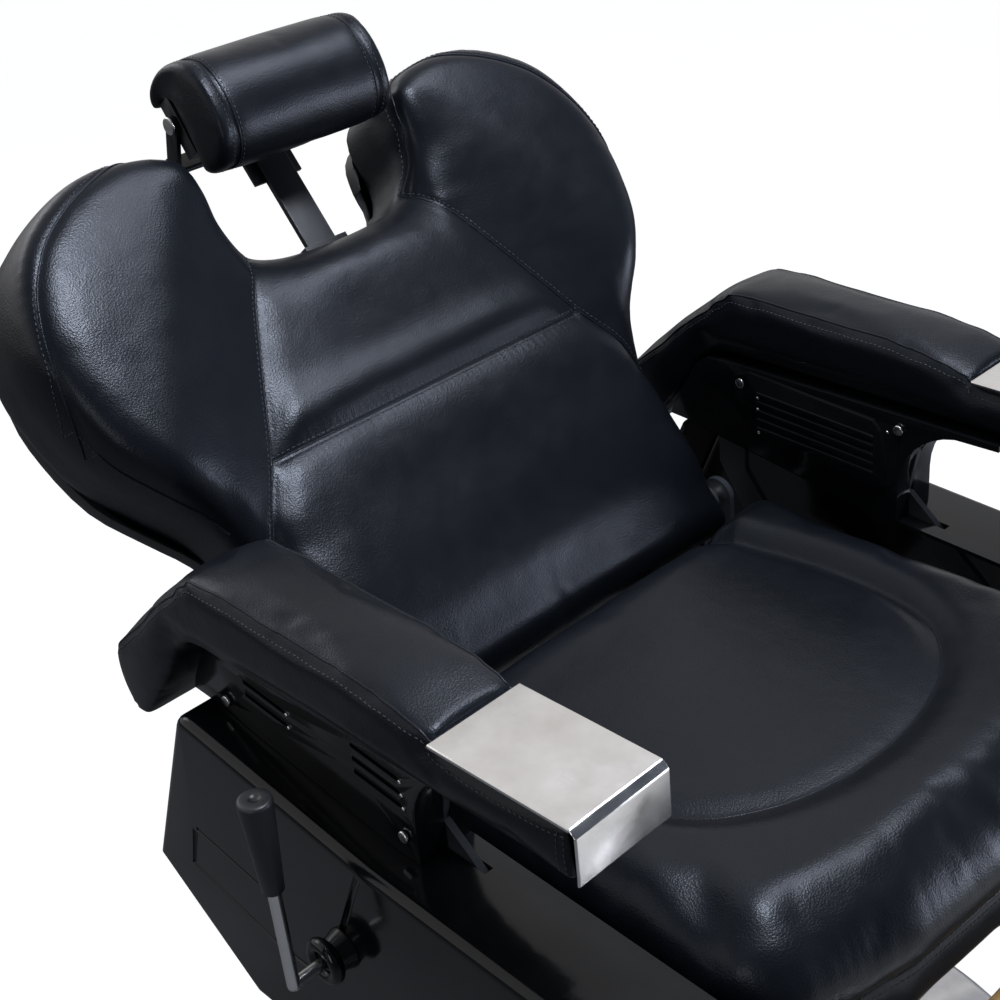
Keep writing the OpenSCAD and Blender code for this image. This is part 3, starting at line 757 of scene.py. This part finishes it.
# seams on the front, in X and Z of the back's own frame
LOBE_SEAM = [(88, 388), (105, 362), (117, 344), (138, 304), (158, 264), (181, 218), (210, 170),
             (226, 120), (233, 94)]
RIM_SEAM = [(90, 387), (104, 406), (110, 430), (112, 456), (120, 476), (142, 489), (176, 490),
            (223, 473), (257, 453), (277, 434), (296, 405), (309, 365), (312, 322), (305, 274),
            (288, 239), (270, 208), (257, 175)]
BACK_FRONT, BACK_REAR = -44.0, 50.0
LUMBAR_Z = 216
LUMBAR_SEAM = [(-181, LUMBAR_Z + 1), (-90, LUMBAR_Z), (0, LUMBAR_Z), (90, LUMBAR_Z), (181, LUMBAR_Z + 1)]
HINGE_ROLL = 39


def back_cushion():
    outline = flowing(BACK_HALF + mirrored(BACK_HALF[:0:-1]), 5)
    pad, _ = bolster("back_cushion_leather", outline, BACK_FRONT + 4, BACK_REAR, 30.0, 6.0, 6.0, 3.0)
    p = get_points(pad)
    # below the hinge the pad is a roll about its axis, so that it turns clear of the seat
    reach = np.hypot(p[:, 1], p[:, 2])
    roll = np.where((p[:, 1] < 0) & (reach > HINGE_ROLL), HINGE_ROLL / reach, 1.0)
    p[:, 1:] *= roll[:, None]
    set_points(pad, p)
    facing = get_normals(pad)
    front = ease(-facing[:, 2] / 0.75)
    plane = p[:, :2]
    side = np.c_[np.abs(plane[:, 0]), plane[:, 1]]
    lobe_gap, _ = nearest(side, flowing(LOBE_SEAM, 5, False), False)
    on_lobe = inside(side, np.array(LOBE_SEAM + [(420, 94), (420, 600), (88, 600)]))
    # each lobe swells away from its seam; the panel between them lies lower and is flatter
    swell = np.where(on_lobe, 24 * ease(lobe_gap / 100), 4 * ease(lobe_gap / 70))
    lumbar_gap = plane[:, 1] - LUMBAR_Z
    panel = np.where(on_lobe, 0, 1) * ease(lobe_gap / 26)
    swell += panel * (5.0 * hill(lumbar_gap - 27, 19) * (lumbar_gap > 0) * ease(lumbar_gap / 12)
                      + 2.5 * hill(lumbar_gap + 34, 30) * (lumbar_gap < 0))
    swell += 7 * hill(plane[:, 1] - 95, 70) * (1 - on_lobe)
    # the panel rolls over into the notch
    swell -= 5 * hill(plane[:, 1] - 380, 26) * (side[:, 0] < 105)
    p[:, 2] -= swell * front * ease((p[:, 1] + 10) / 60)
    set_points(pad, p)
    shape(pad, "SMOOTH", factor=0.5, iterations=4)
    inflate(pad, 6.0)
    shape(pad, "SUBSURF", levels=1, render_levels=1)
    p = get_points(pad)
    facing = get_normals(pad)
    front = ease(-facing[:, 2] / 0.5)
    side = np.c_[np.abs(p[:, 0]), p[:, 1]]
    lobe_gap, _ = nearest(side, flowing(LOBE_SEAM, 5, False), False)
    rim_gap, _ = nearest(side, flowing(RIM_SEAM, 5, False), False)
    p = carve(p, facing, lobe_gap, (1.8, 2.4), (2.6, 13.0), front)
    p = carve(p, facing, rim_gap, (1.0, 2.2), (0.8, 8.0), ease(-facing[:, 2] / 0.25))
    lumbar = np.abs(p[:, 1] - LUMBAR_Z)
    reach = ease((185 - side[:, 0]) / 12)
    p = carve(p, facing, lumbar, (1.9, 2.4), (1.8, 11.0), front * reach)
    # gathers that fan out from the lumbar seam
    ticks = np.cos(p[:, 0] * 2 * math.pi / 7.5 + 1.2 * np.sin(p[:, 0] / 31)) * hill(lumbar - 7, 5)
    p = p - facing * (0.28 * ticks * front * reach)[:, None]
    set_points(pad, p)
    return finish_pad(pad, turned(BACK, "back"))


def turned(place, kind):
    """From a pad's (u, v, t) drawing axes to its frame: u across X, v up Z, t to the rear Y."""
    axes = {"back": ((1, 0, 0), (0, 0, 1), (0, 1, 0)),
            "seat": ((1, 0, 0), (0, 1, 0), (0, 0, 1)),
            "arm": ((0, 1, 0), (0, 0, 1), (1, 0, 0))}[kind]
    return place @ Matrix([[axes[k][row] for k in range(3)] + [0] for row in range(3)] + [[0, 0, 0, 1]])


def on_front(points, place, side=1.0):
    """Points in front of the back, from its seam drawing, in metres."""
    return [place @ Vector((side * x * MM, -0.2, z * MM)) for x, z in points]


back_pad = back_cushion()
dress(back_pad, "back", "black_leather", "leather", "back_cushion", "back_board")
back_skin = skin_of(back_pad)
into_back = (BACK.to_3x3() @ Vector((0, 1, 0))).normalized()


def beside(path, gap):
    """A plane path moved sideways by a distance."""
    path = np.asarray(path, float)
    run = np.gradient(path, axis=0)
    run /= np.maximum(np.linalg.norm(run, axis=1), 1e-9)[:, None]
    return path + np.c_[-run[:, 1], run[:, 0]] * gap


rows = []
for side, name in ((-1, "right"), (1, "left")):
    seam = evenly(flowing(LOBE_SEAM, 6, False), 4)
    line, _ = laid_on(back_skin, on_front(seam, BACK, side), into_back, -0.0002)
    welt(f"back_seam_{name}", line, 0.8, "back")
    rows.append(laid_on(back_skin, on_front(beside(seam, 3.2), BACK, side), into_back, PROUD))
    rim = evenly(flowing(RIM_SEAM, 6, False), 4)
    line, _ = laid_on(back_skin, on_front(rim, BACK, side), into_back, 0.0, 0.17)
    welt(f"back_rim_seam_{name}", line, 1.0, "back")
    rows.append(laid_on(back_skin, on_front(beside(rim, 3.4), BACK, side), into_back, PROUD, 0.17))
lumbar = evenly(LUMBAR_SEAM, 4)
line, _ = laid_on(back_skin, on_front(lumbar, BACK), into_back, -0.0004)
welt("back_lumbar_seam", line, 0.7, "back")
rows.append(laid_on(back_skin, on_front(beside(lumbar, 3.4), BACK), into_back, PROUD))
rows.append(laid_on(back_skin, on_front(beside(lumbar, -3.4), BACK), into_back, PROUD))
stitches("back_stitches", rows, "back")


# ---- the seat: a boxed cushion with a horseshoe channel ----

SEAT_HALF_W = SEAT_HIGH[0]
SEAT_FRONT = SEAT_LOW[1]
SEAT_REAR = SEAT_HIGH[1]
CHANNEL = [(150, 150), (165, 90), (175, 20), (172, -50), (150, -106), (106, -142), (52, -160), (0, -165)]
BORDER_Z = 505.0


def seat_outline():
    half = [(0, SEAT_FRONT), (120, SEAT_FRONT + 7)]
    half += bow(SEAT_HALF_W - 62, -194, 62, 290, 360, 6)
    half += [(SEAT_HALF_W, -100), (SEAT_HALF_W, 0), (SEAT_HALF_W, SEAT_REAR - 30)]
    half += bow(SEAT_HALF_W - 30, SEAT_REAR - 30, 30, 15, 90, 5)
    half += [(120, SEAT_REAR)]
    return half + mirrored(half[:0:-1])


def seat_cushion():
    outline = np.array(seat_outline())
    pad, outline = bolster("seat_cushion_leather", outline, 460.0, 572.0, 8.0,
                           lambda at: (36 - 14 * ease((at[:, 1] - SEAT_REAR + 90) / 60)
                                       + 10 * ease((-150 - at[:, 1]) / 50)), 6.0, 3.0)
    p = get_points(pad)
    facing = get_normals(pad)
    top = ease(facing[:, 2] / 0.7)
    side = np.c_[np.abs(p[:, 0]), p[:, 1]]
    edge, _ = nearest(p[:, :2], outline)
    channel = flowing(CHANNEL, 6, False)
    gap, _ = nearest(side, channel, False)
    within = inside(side, np.array([(-5, 300)] + [(152, 300)] + CHANNEL + [(-5, -166)]))
    lift = np.where(within, -2.0 + 2.0 * ease(gap / 90), 7.0 * ease(gap / 26) * ease(edge / 30) - 2.0)
    # the front has a crest, a dip behind the roll, and the roll itself, which hangs forward
    ahead = ease((-120 - p[:, 1]) / 60)
    lift += 2.5 * hill(edge - 34, 18) * (1 - ahead)
    lift += (3.0 * hill(edge - 64, 20) - 4.5 * hill(edge - 30, 13)) * ahead
    p[:, 2] += lift * top
    p[:, 1] -= 6 * hill(p[:, 2] - 530, 24) * ease((-facing[:, 1] - 0.2) / 0.6) * ahead
    set_points(pad, p)
    shape(pad, "SMOOTH", factor=0.5, iterations=4)
    inflate(pad, 6.0)
    shape(pad, "SUBSURF", levels=1, render_levels=1)
    p = get_points(pad)
    facing = get_normals(pad)
    side = np.c_[np.abs(p[:, 0]), p[:, 1]]
    gap, _ = nearest(side, channel, False)
    top = ease(facing[:, 2] / 0.5)
    deep = 0.28 + 0.72 * ease((p[:, 1] + 155) / 120)
    p = carve(p, facing, gap, (3.2, 3.2), (6.5, 11.0), top * deep)
    border = np.abs(p[:, 2] - BORDER_Z)
    wall = ease((0.8 - np.abs(facing[:, 2])) / 0.2) * (p[:, 1] < SEAT_REAR - 20)
    p = carve(p, facing, border, (1.8, 2.6), (2.0, 9.0), wall)
    # fine pulls that run over the front roll
    angle = np.arctan2(p[:, 0], -(p[:, 1] - 200))
    fan = np.sin(angle * 260 + 3 * np.sin(angle * 37)) * hill(p[:, 2] - 545, 20) * (p[:, 1] < -150)
    p = p + facing * (0.07 * fan)[:, None]
    set_points(pad, p)
    return finish_pad(pad, turned(LEVEL, "seat"))


seat_pad = seat_cushion()
dress(seat_pad, "seat", "black_leather", "leather", "seat_cushion")
seat_skin = skin_of(seat_pad)


def around_seat(height):
    """The seat's outline from one rear corner round the front to the other, at a height."""
    half = [(x, y) for x, y in seat_outline() if x >= 0 and y < SEAT_REAR - 20]
    path = evenly(half[::-1] + mirrored(half[1:]), 5)
    return [Vector((x * MM * 1.02, y * MM * 1.02 - 0.002, height * MM)) for x, y in path]


rows = []
line, _ = snapped(seat_skin, around_seat(BORDER_Z), 0.0)
welt("seat_border_seam", line, 1.1, "seat")
for height in (BORDER_Z + 4.2, BORDER_Z - 4.2):
    rows.append(snapped(seat_skin, around_seat(height), PROUD))
channel = evenly(flowing(CHANNEL + mirrored(CHANNEL[-2::-1]), 6, False), 5)
line, _ = laid_on(seat_skin, [Vector((x * MM, y * MM, 0.8)) for x, y in channel], (0, 0, -1), -0.0003)
welt("seat_channel_seam", line, 0.8, "seat")
stitches("seat_stitches", rows, "seat")


# ---- the arms ----

ARM_UNDER = box_of("arm_core_left")[1][2]
PAD_TOP = ([(-181, ARM_UNDER + 2), (-181, PLATE_TOP - 4), (-120, PLATE_TOP - 4), (-63, PLATE_TOP - 3),
            (-58, PLATE_TOP + 4), (-30, PLATE_TOP + 11), (20, PLATE_TOP + 18), (90, PLATE_TOP + 20),
            (150, PLATE_TOP + 21), (196, PLATE_TOP + 18)]
           + bow(186, PLATE_TOP - 32, 46, 70, 40, 3) + [(262, 700)] + bow(276, 618, 56, 24, -40, 5))
PAD_UNDER = ([(318, 577), (303, 576), (288, 592), (263, 624)] + bow(196, 640, 49, 20, 60, 3)
             + [(198, ARM_UNDER + 1)])


def arm_pad(side, name):
    outline = np.array(PAD_TOP + PAD_UNDER)
    pad, _ = bolster(f"arm_pad_{name}_leather", outline, IN_X + 1, OUT_X - 1, 8.0, 8.0, 5.0, 2.0)
    p = get_points(pad)
    facing = get_normals(pad)
    across = (p[:, 2] - 0.5 * (IN_X + OUT_X)) / (0.5 * (OUT_X - IN_X))
    above = ease(facing[:, 1] / 0.6) * (p[:, 1] > ARM_UNDER + 20)
    above = above + ease(facing[:, 0] / 0.6) * (p[:, 0] > 240)
    behind_plate = ease((p[:, 0] + 66) / 50)
    p = p + facing * (3.0 * (1 - across ** 2) * np.clip(above, 0, 1) * behind_plate)[:, None]
    set_points(pad, p)
    inflate(pad, 3.0, 3.0, 14)
    shape(pad, "SUBSURF", levels=1, render_levels=1)
    p = get_points(pad)
    facing = get_normals(pad)
    under_plate = (p[:, 0] < -60) & (p[:, 1] > PLATE_TOP - 14) & (facing[:, 1] > 0.3)
    p[:, 1] = np.where(under_plate, np.minimum(p[:, 1], PLATE_TOP - 4.0), p[:, 1])
    p[:, 0] = np.where((p[:, 0] < -184) & (p[:, 1] > PLATE_TOP - 46), -184, p[:, 0])
    p[:, 1] = np.where((p[:, 0] < 195) & (p[:, 0] > -170), np.maximum(p[:, 1], ARM_UNDER), p[:, 1])
    set_points(pad, p)
    pad = finish_pad(pad, Matrix.Scale(side, 4, (1, 0, 0)) @ turned(LEVEL, "arm"))
    dress(pad, "seat", "black_leather", "leather", f"arm_pad_{name}")
    skin = skin_of(pad)
    rows = []
    for rim_x, tag in ((IN_X, "inner"), (OUT_X, "outer")):
        out = 1 if rim_x == OUT_X else -1
        path = flowing(PAD_TOP[1:], 3, False)
        edge = [Vector((side * (rim_x - out * 1.5), y, z + 3)) * MM for y, z in evenly(path, 5)]
        line, _ = snapped(skin, edge, 0.0)
        welt(f"arm_seam_{tag}_{name}", line, 1.0, "seat")
        low = [Vector((side * (rim_x + out * 4), y, z - 7.5)) * MM for y, z in evenly(path, 5)]
        rows.append(snapped(skin, low, PROUD))
    for y in (-176.0, -169.5):
        drop = [Vector((side * (OUT_X + 4), y, z)) * MM
                for z in np.arange(ARM_UNDER + 6, PLATE_TOP - 8, 3.0)]
        rows.append(snapped(skin, drop, PROUD))
    stitches(f"arm_stitches_{name}", rows, "seat", 4.6, 0.9)
    return pad


for side, name in ((-1, "right"), (1, "left")):
    arm_pad(side, name)
    plate = eased(f"arm_plate_{name}", f"arm_plate_{name}_polished", 1.6, 4, 20)
    dress(plate, "seat", "chrome_plate", "chrome", f"arm_plate_{name}")


# ---- the headrest ----

HEAD_LINE = [(466, 921), (436, 932), (424, 956), (430, 984), (448, 1009), (472, 1022), (504, 1016),
             (528, 1000), (539, 981), (532, 968), (520, 974), (510, 984), (500, 972), (482, 944)]
HEAD_END = 97.0
HEAD_MIDDLE = (482, 975)
HEAD_SEAM = 19.0  # the end cap's seam, in from each end


def headrest():
    pad, _ = bolster("headrest_pad_leather", flowing(HEAD_LINE, 4), 1 - HEAD_END, HEAD_END - 1,
                     11.0, 11.0, 5.0, 2.5)
    inflate(pad, 4.0, 4.0, 16)
    shape(pad, "SUBSURF", levels=1, render_levels=1)
    p = get_points(pad)
    facing = get_normals(pad)
    for end in (-1, 1):
        gap = np.abs(p[:, 2] - end * (HEAD_END - HEAD_SEAM))
        p = carve(p, facing, gap, (1.4, 2.6), (1.2, 8.0), ease((0.9 - np.abs(facing[:, 2])) / 0.3))
    set_points(pad, p)
    return finish_pad(pad, turned(LEVEL, "arm"))


head_pad = headrest()
dress(head_pad, "headrest", "black_leather", "leather", "headrest_pad")
head_skin = skin_of(head_pad)
rows = []
for end, tag in ((-1, "right"), (1, "left")):
    for gap, kind in ((HEAD_SEAM, "seam"), (HEAD_SEAM - 3.6, "row"), (HEAD_SEAM + 3.6, "row")):
        around = evenly(flowing(HEAD_LINE[:10], 5, False), 4)
        ring = [Vector((end * (HEAD_END - gap), HEAD_MIDDLE[0] + 1.1 * (y - HEAD_MIDDLE[0]),
                        HEAD_MIDDLE[1] + 1.1 * (z - HEAD_MIDDLE[1]))) * MM for y, z in around]
        line, lean = snapped(head_skin, ring, 0.0 if kind == "seam" else PROUD)
        if kind == "seam":
            welt(f"headrest_seam_{tag}", line, 0.9, "headrest")
        else:
            rows.append((line, lean))
stitches("headrest_stitches", rows, "headrest", 4.6, 0.9)


# ---- the leg rest's pad ----

CALF_LOW, CALF_HIGH, CALF_HALF_W = -262.0, -44.0, 201


def calf_pad():
    outline = [(-CALF_HALF_W, CALF_LOW - 4), (CALF_HALF_W, CALF_LOW - 4),
               (CALF_HALF_W, CALF_HIGH), (-CALF_HALF_W, CALF_HIGH)]
    pad, _ = bolster("calf_pad_leather", outline, -68.0, -17.0, 24.0, 6.0, 6.0, 3.0)
    p = get_points(pad)
    facing = get_normals(pad)
    front = ease(-facing[:, 2] / 0.7)
    p[:, 2] -= 4.0 * front * ease((200 - np.abs(p[:, 0])) / 60)
    set_points(pad, p)
    inflate(pad, 5.0, 4.0, 16)
    shape(pad, "SUBSURF", levels=1, render_levels=1)
    return finish_pad(pad, turned(LEG, "back"))


leg_pad = calf_pad()
dress(leg_pad, "leg_rest", "black_leather", "leather", "calf_pad")


# ---- moulded skirts under the arms ----

SKIRT = ([(-262, 560), (30, 577), (232, 606)] + bow(240, 590, 17, 90, 20, 5)
         + [(335, 421), (216, 330), (-150, 330), (-262, 420)])
SKIRT_DEEP, SKIRT_WALL = 80.0, 4.0
PRESSED = [(38, 566), (103, 422), (172, 421), (273, 444), (259, 486)]
PRESSED_FAINT = [(256, 490), (216, 484), (176, 478)]


def flat_sheet(name, outline, x):
    """A flat n-sided sheet at one X, its corners set to an outline in Y and Z."""
    bpy.ops.object.select_all(action="DESELECT")
    bpy.ops.mesh.primitive_circle_add(vertices=len(outline), radius=1.0, fill_type="NGON")
    sheet = bpy.context.object
    sheet.name = name
    set_points(sheet, [(x * MM, y * MM, z * MM) for y, z in outline])
    return sheet


def tube_cutter(path, x, radius):
    """A round bar along a path in Y and Z, to press a channel with."""
    curve = bpy.data.curves.new("cutter", "CURVE")
    curve.dimensions = "3D"
    curve.bevel_depth = radius * MM
    curve.bevel_resolution = 4
    curve.use_fill_caps = True
    line = curve.splines.new("POLY")
    line.points.add(len(path) - 1)
    for point, (y, z) in zip(line.points, path):
        point.co = (x * MM, y * MM, z * MM, 1)
    bar = bpy.data.objects.new("cutter", curve)
    bpy.context.scene.collection.objects.link(bar)
    take(bar)
    bpy.ops.object.convert(target="MESH")
    return bpy.context.object


def block_cutter(low, high):
    bpy.ops.object.select_all(action="DESELECT")
    middle = [(a + b) / 2 * MM for a, b in zip(low, high)]
    bpy.ops.mesh.primitive_cube_add(size=1.0, location=middle)
    block = bpy.context.object
    block.scale = [(b - a) * MM for a, b in zip(low, high)]
    bpy.ops.object.transform_apply(location=True, rotation=True, scale=True)
    return block


def cut(piece, cutter):
    shape(piece, "BOOLEAN", operation="DIFFERENCE", object=cutter, solver="EXACT")
    bpy.data.objects.remove(cutter)
    return piece


def skirt(side, name):
    panel = flat_sheet(f"side_panel_{name}_moulded", SKIRT, OUT_X - SKIRT_DEEP)
    take(panel)
    bpy.ops.object.mode_set(mode="EDIT")
    bpy.ops.mesh.select_mode(type="FACE")
    bpy.ops.mesh.select_all(action="SELECT")
    bpy.ops.mesh.extrude_region_move(TRANSFORM_OT_translate={"value": (SKIRT_DEEP * MM, 0, 0)})
    bpy.ops.mesh.region_to_loop()
    bpy.ops.mesh.bevel(offset=9 * MM, segments=6, affect="EDGES", profile=0.5)
    mesh = bmesh.from_edit_mesh(panel.data)
    for face in list(mesh.faces):
        if all(abs(v.co.x - (OUT_X - SKIRT_DEEP) * MM) < 1e-6 for v in face.verts):
            bmesh.ops.delete(mesh, geom=[face], context="FACES_ONLY")
    bmesh.update_edit_mesh(panel.data)
    bpy.ops.mesh.select_all(action="SELECT")
    bpy.ops.mesh.normals_make_consistent(inside=False)
    bpy.ops.object.mode_set(mode="OBJECT")
    faces_out = [f for f in panel.data.polygons if f.center.x > (OUT_X - 1) * MM]
    if faces_out and faces_out[0].normal.x < 0:
        panel.data.flip_normals()
    shape(panel, "SOLIDIFY", thickness=SKIRT_WALL * MM, offset=-1.0, use_even_offset=True)
    cut(panel, tube_cutter(PRESSED, OUT_X + 1.9, 4.2))
    cut(panel, tube_cutter(PRESSED_FAINT, OUT_X + 2.4, 3.6))
    core_low, core_high = box_of("arm_core_left")
    cut(panel, block_cutter((core_low[0] - 1, -34, 540), (core_high[0] + 1, 240, 625)))
    if name == "right":
        y, z = (lever_low[1] + lever_high[1]) / 2, lever_low[2] + (lever_high[1] - lever_low[1]) / 2
        cut(panel, tube_bar_x(OUT_X - 12, OUT_X + 12, y, z, 8))
    take(panel)
    panel.data.transform(Matrix.Scale(side, 4, (1, 0, 0)))
    if side < 0:
        panel.data.flip_normals()
    settle(panel, 32)
    return dress(panel, "seat", "gloss_black_moulding", "gloss", f"side_panel_{name}")


def tube_bar_x(x0, x1, y, z, radius):
    bpy.ops.object.select_all(action="DESELECT")
    bpy.ops.mesh.primitive_cylinder_add(vertices=40, radius=radius * MM, depth=(x1 - x0) * MM,
                                        location=((x0 + x1) / 2 * MM, y * MM, z * MM),
                                        rotation=(0, math.pi / 2, 0))
    bpy.ops.object.transform_apply(location=True, rotation=True, scale=True)
    return bpy.context.object


lever_low, lever_high = box_of("lever_rod")
for side, name in ((-1, "right"), (1, "left")):
    skirt(side, name)


# ---- moulded arm panels, their screws and bright pips ----

INNER_PIPS = [(156, 658), (156, 646), (156, 634), (155, 622),
              (16, 664), (21, 650), (25, 636), (28, 622), (30, 608)]
OUTER_PIPS = [(14, 622), (14, 634), (14, 646), (140, 630), (140, 642)]


def pips(side, name):
    """Small domed rivets in the panels, one shape copied to each place."""
    bpy.ops.object.select_all(action="DESELECT")
    bpy.ops.mesh.primitive_uv_sphere_add(segments=14, ring_count=8, radius=1.7 * MM)
    dome = bpy.context.object
    shell = get_points(dome)
    faces = [tuple(f.vertices) for f in dome.data.polygons]
    bpy.data.objects.remove(dome)
    points, polygons = [], []
    places = [(IN_X - 0.2 if y < 100 else IN_X - 2.6, y, z) for y, z in INNER_PIPS]
    places += [(IN_X + 52.2, y, z) for y, z in OUTER_PIPS]
    for x, y, z in places:
        first = len(points)
        points.extend(shell * np.array([0.6, 1, 1]) + np.array([side * x, y, z]) * MM)
        polygons.extend([tuple(first + i for i in f) for f in faces])
    rivets = new_piece(f"arm_pips_{name}", points, polygons)
    take(rivets)
    bpy.ops.object.shade_smooth()
    return dress(rivets, "seat", "bright_steel", "chrome")


for side, name in ((-1, "right"), (1, "left")):
    for node in (f"arm_inner_panel_{name}", f"arm_outer_panel_{name}"):
        dress(eased(node, f"{node}_moulded", 0.9, 3), "seat", "gloss_black_moulding", "gloss", node)
    pips(side, name)
dress(eased("panel_screws", "panel_screws_domed", 1.2, 3), "seat", "chrome_plate", "chrome", "panel_screws")


# ---- the release lever ----

def lever_grip():
    low, high = box_of("lever_grip")
    x, y = (low[0] + high[0]) / 2, (low[1] + high[1]) / 2
    bpy.ops.object.select_all(action="DESELECT")
    bpy.ops.mesh.primitive_cone_add(vertices=40, radius1=8.2 * MM, radius2=13 * MM,
                                    depth=(high[2] - low[2]) * MM,
                                    location=(x * MM, y * MM, (low[2] + high[2]) / 2 * MM))
    grip = bpy.context.object
    grip.name = "lever_grip_moulded"
    bpy.ops.object.transform_apply(location=True, rotation=True, scale=True)
    bpy.ops.object.mode_set(mode="EDIT")
    bpy.ops.mesh.select_mode(type="FACE")
    bpy.ops.mesh.select_all(action="DESELECT")
    mesh = bmesh.from_edit_mesh(grip.data)
    for face in mesh.faces:
        face.select_set(face.normal.z > 0.9)
    bmesh.update_edit_mesh(grip.data)
    bpy.ops.mesh.bevel(offset=3.2 * MM, segments=4, affect="EDGES")
    bpy.ops.mesh.select_all(action="DESELECT")
    mesh = bmesh.from_edit_mesh(grip.data)
    top = max(mesh.faces, key=lambda f: f.calc_center_median().z)
    top.select_set(True)
    bmesh.update_edit_mesh(grip.data)
    bpy.ops.mesh.inset(thickness=5.6 * MM)
    bpy.ops.mesh.inset(thickness=1.4 * MM, depth=-1.2 * MM)
    bpy.ops.object.mode_set(mode="OBJECT")
    shape(grip, "BEVEL", width=0.8 * MM, segments=2, limit_method="ANGLE", angle_limit=math.radians(35))
    settle(grip, 40)
    return dress(grip, "lever", "satin_black_moulding", "satin", "lever_grip")


lever_grip()


# ---- pieces that keep their machined shape and only have their edges eased ----

# each row: node, piece, edge width and segments, body, slot, finish
for node, name, width, segments, body, slot, finish in (
        ("lever_collar", "lever_collar_turned", 0.8, 3, "seat", "gloss_black_moulding", "gloss"),
        ("clamp_knob", "clamp_knob_moulded", 2.4, 4, "back", "satin_black_moulding", "satin"),
        ("back_cover", "back_cover_moulded", 4.0, 4, "back", "satin_black_moulding", "satin"),
        ("foot_plate", "foot_plate_polished", 2.4, 4, "leg_rest", "chrome_plate", "chrome"),
        ("foot_tread", "foot_tread_moulded", 1.0, 2, "leg_rest", "rubber_black", "rubber"),
        ("pedal_tread", "pedal_tread_moulded", 2.5, 3, "pedal", "rubber_black", "rubber"),
        ("pedal_lever", "pedal_lever_forged", 1.6, 3, "pedal", "chrome_plate", "chrome"),
        ("headrest_bar", "headrest_bar_drawn", 1.0, 3, "headrest_slide", "painted_steel", "painted"),
        ("headrest_yoke", "headrest_yoke_welded", 0.8, 3, "headrest_slide", "painted_steel", "painted"),
        ("headrest_socket", "headrest_socket_folded", 1.0, 3, "back", "painted_steel", "painted"),
        ("headrest_board", "headrest_board_moulded", 2.0, 3, "headrest", "satin_black_moulding", "satin"),
        ("leg_arms", "leg_arms_welded", 1.2, 3, "leg_rest", "painted_steel", "painted"),
        ("link_rods", "link_rods_cut", 0.8, 3, "links", "painted_steel", "painted"),
        ("frame_crossbars", "frame_crossbars_welded", 1.5, 3, "seat", "painted_steel", "painted"),
        ("frame_rails", "frame_rails_welded", 1.5, 3, "seat", "painted_steel", "painted"),
        ("pump_casing", "pump_casing_spun", 1.2, 3, "base", "chrome_plate", "chrome"),
        ("floor_plate", "floor_plate_spun", 1.0, 3, "base", "chrome_plate", "chrome"),
        ("headrest_screws", "headrest_screws_domed", 1.5, 3, "headrest", "chrome_plate", "chrome")):
    dress(eased(node, name, width, segments), body, slot, finish, node)
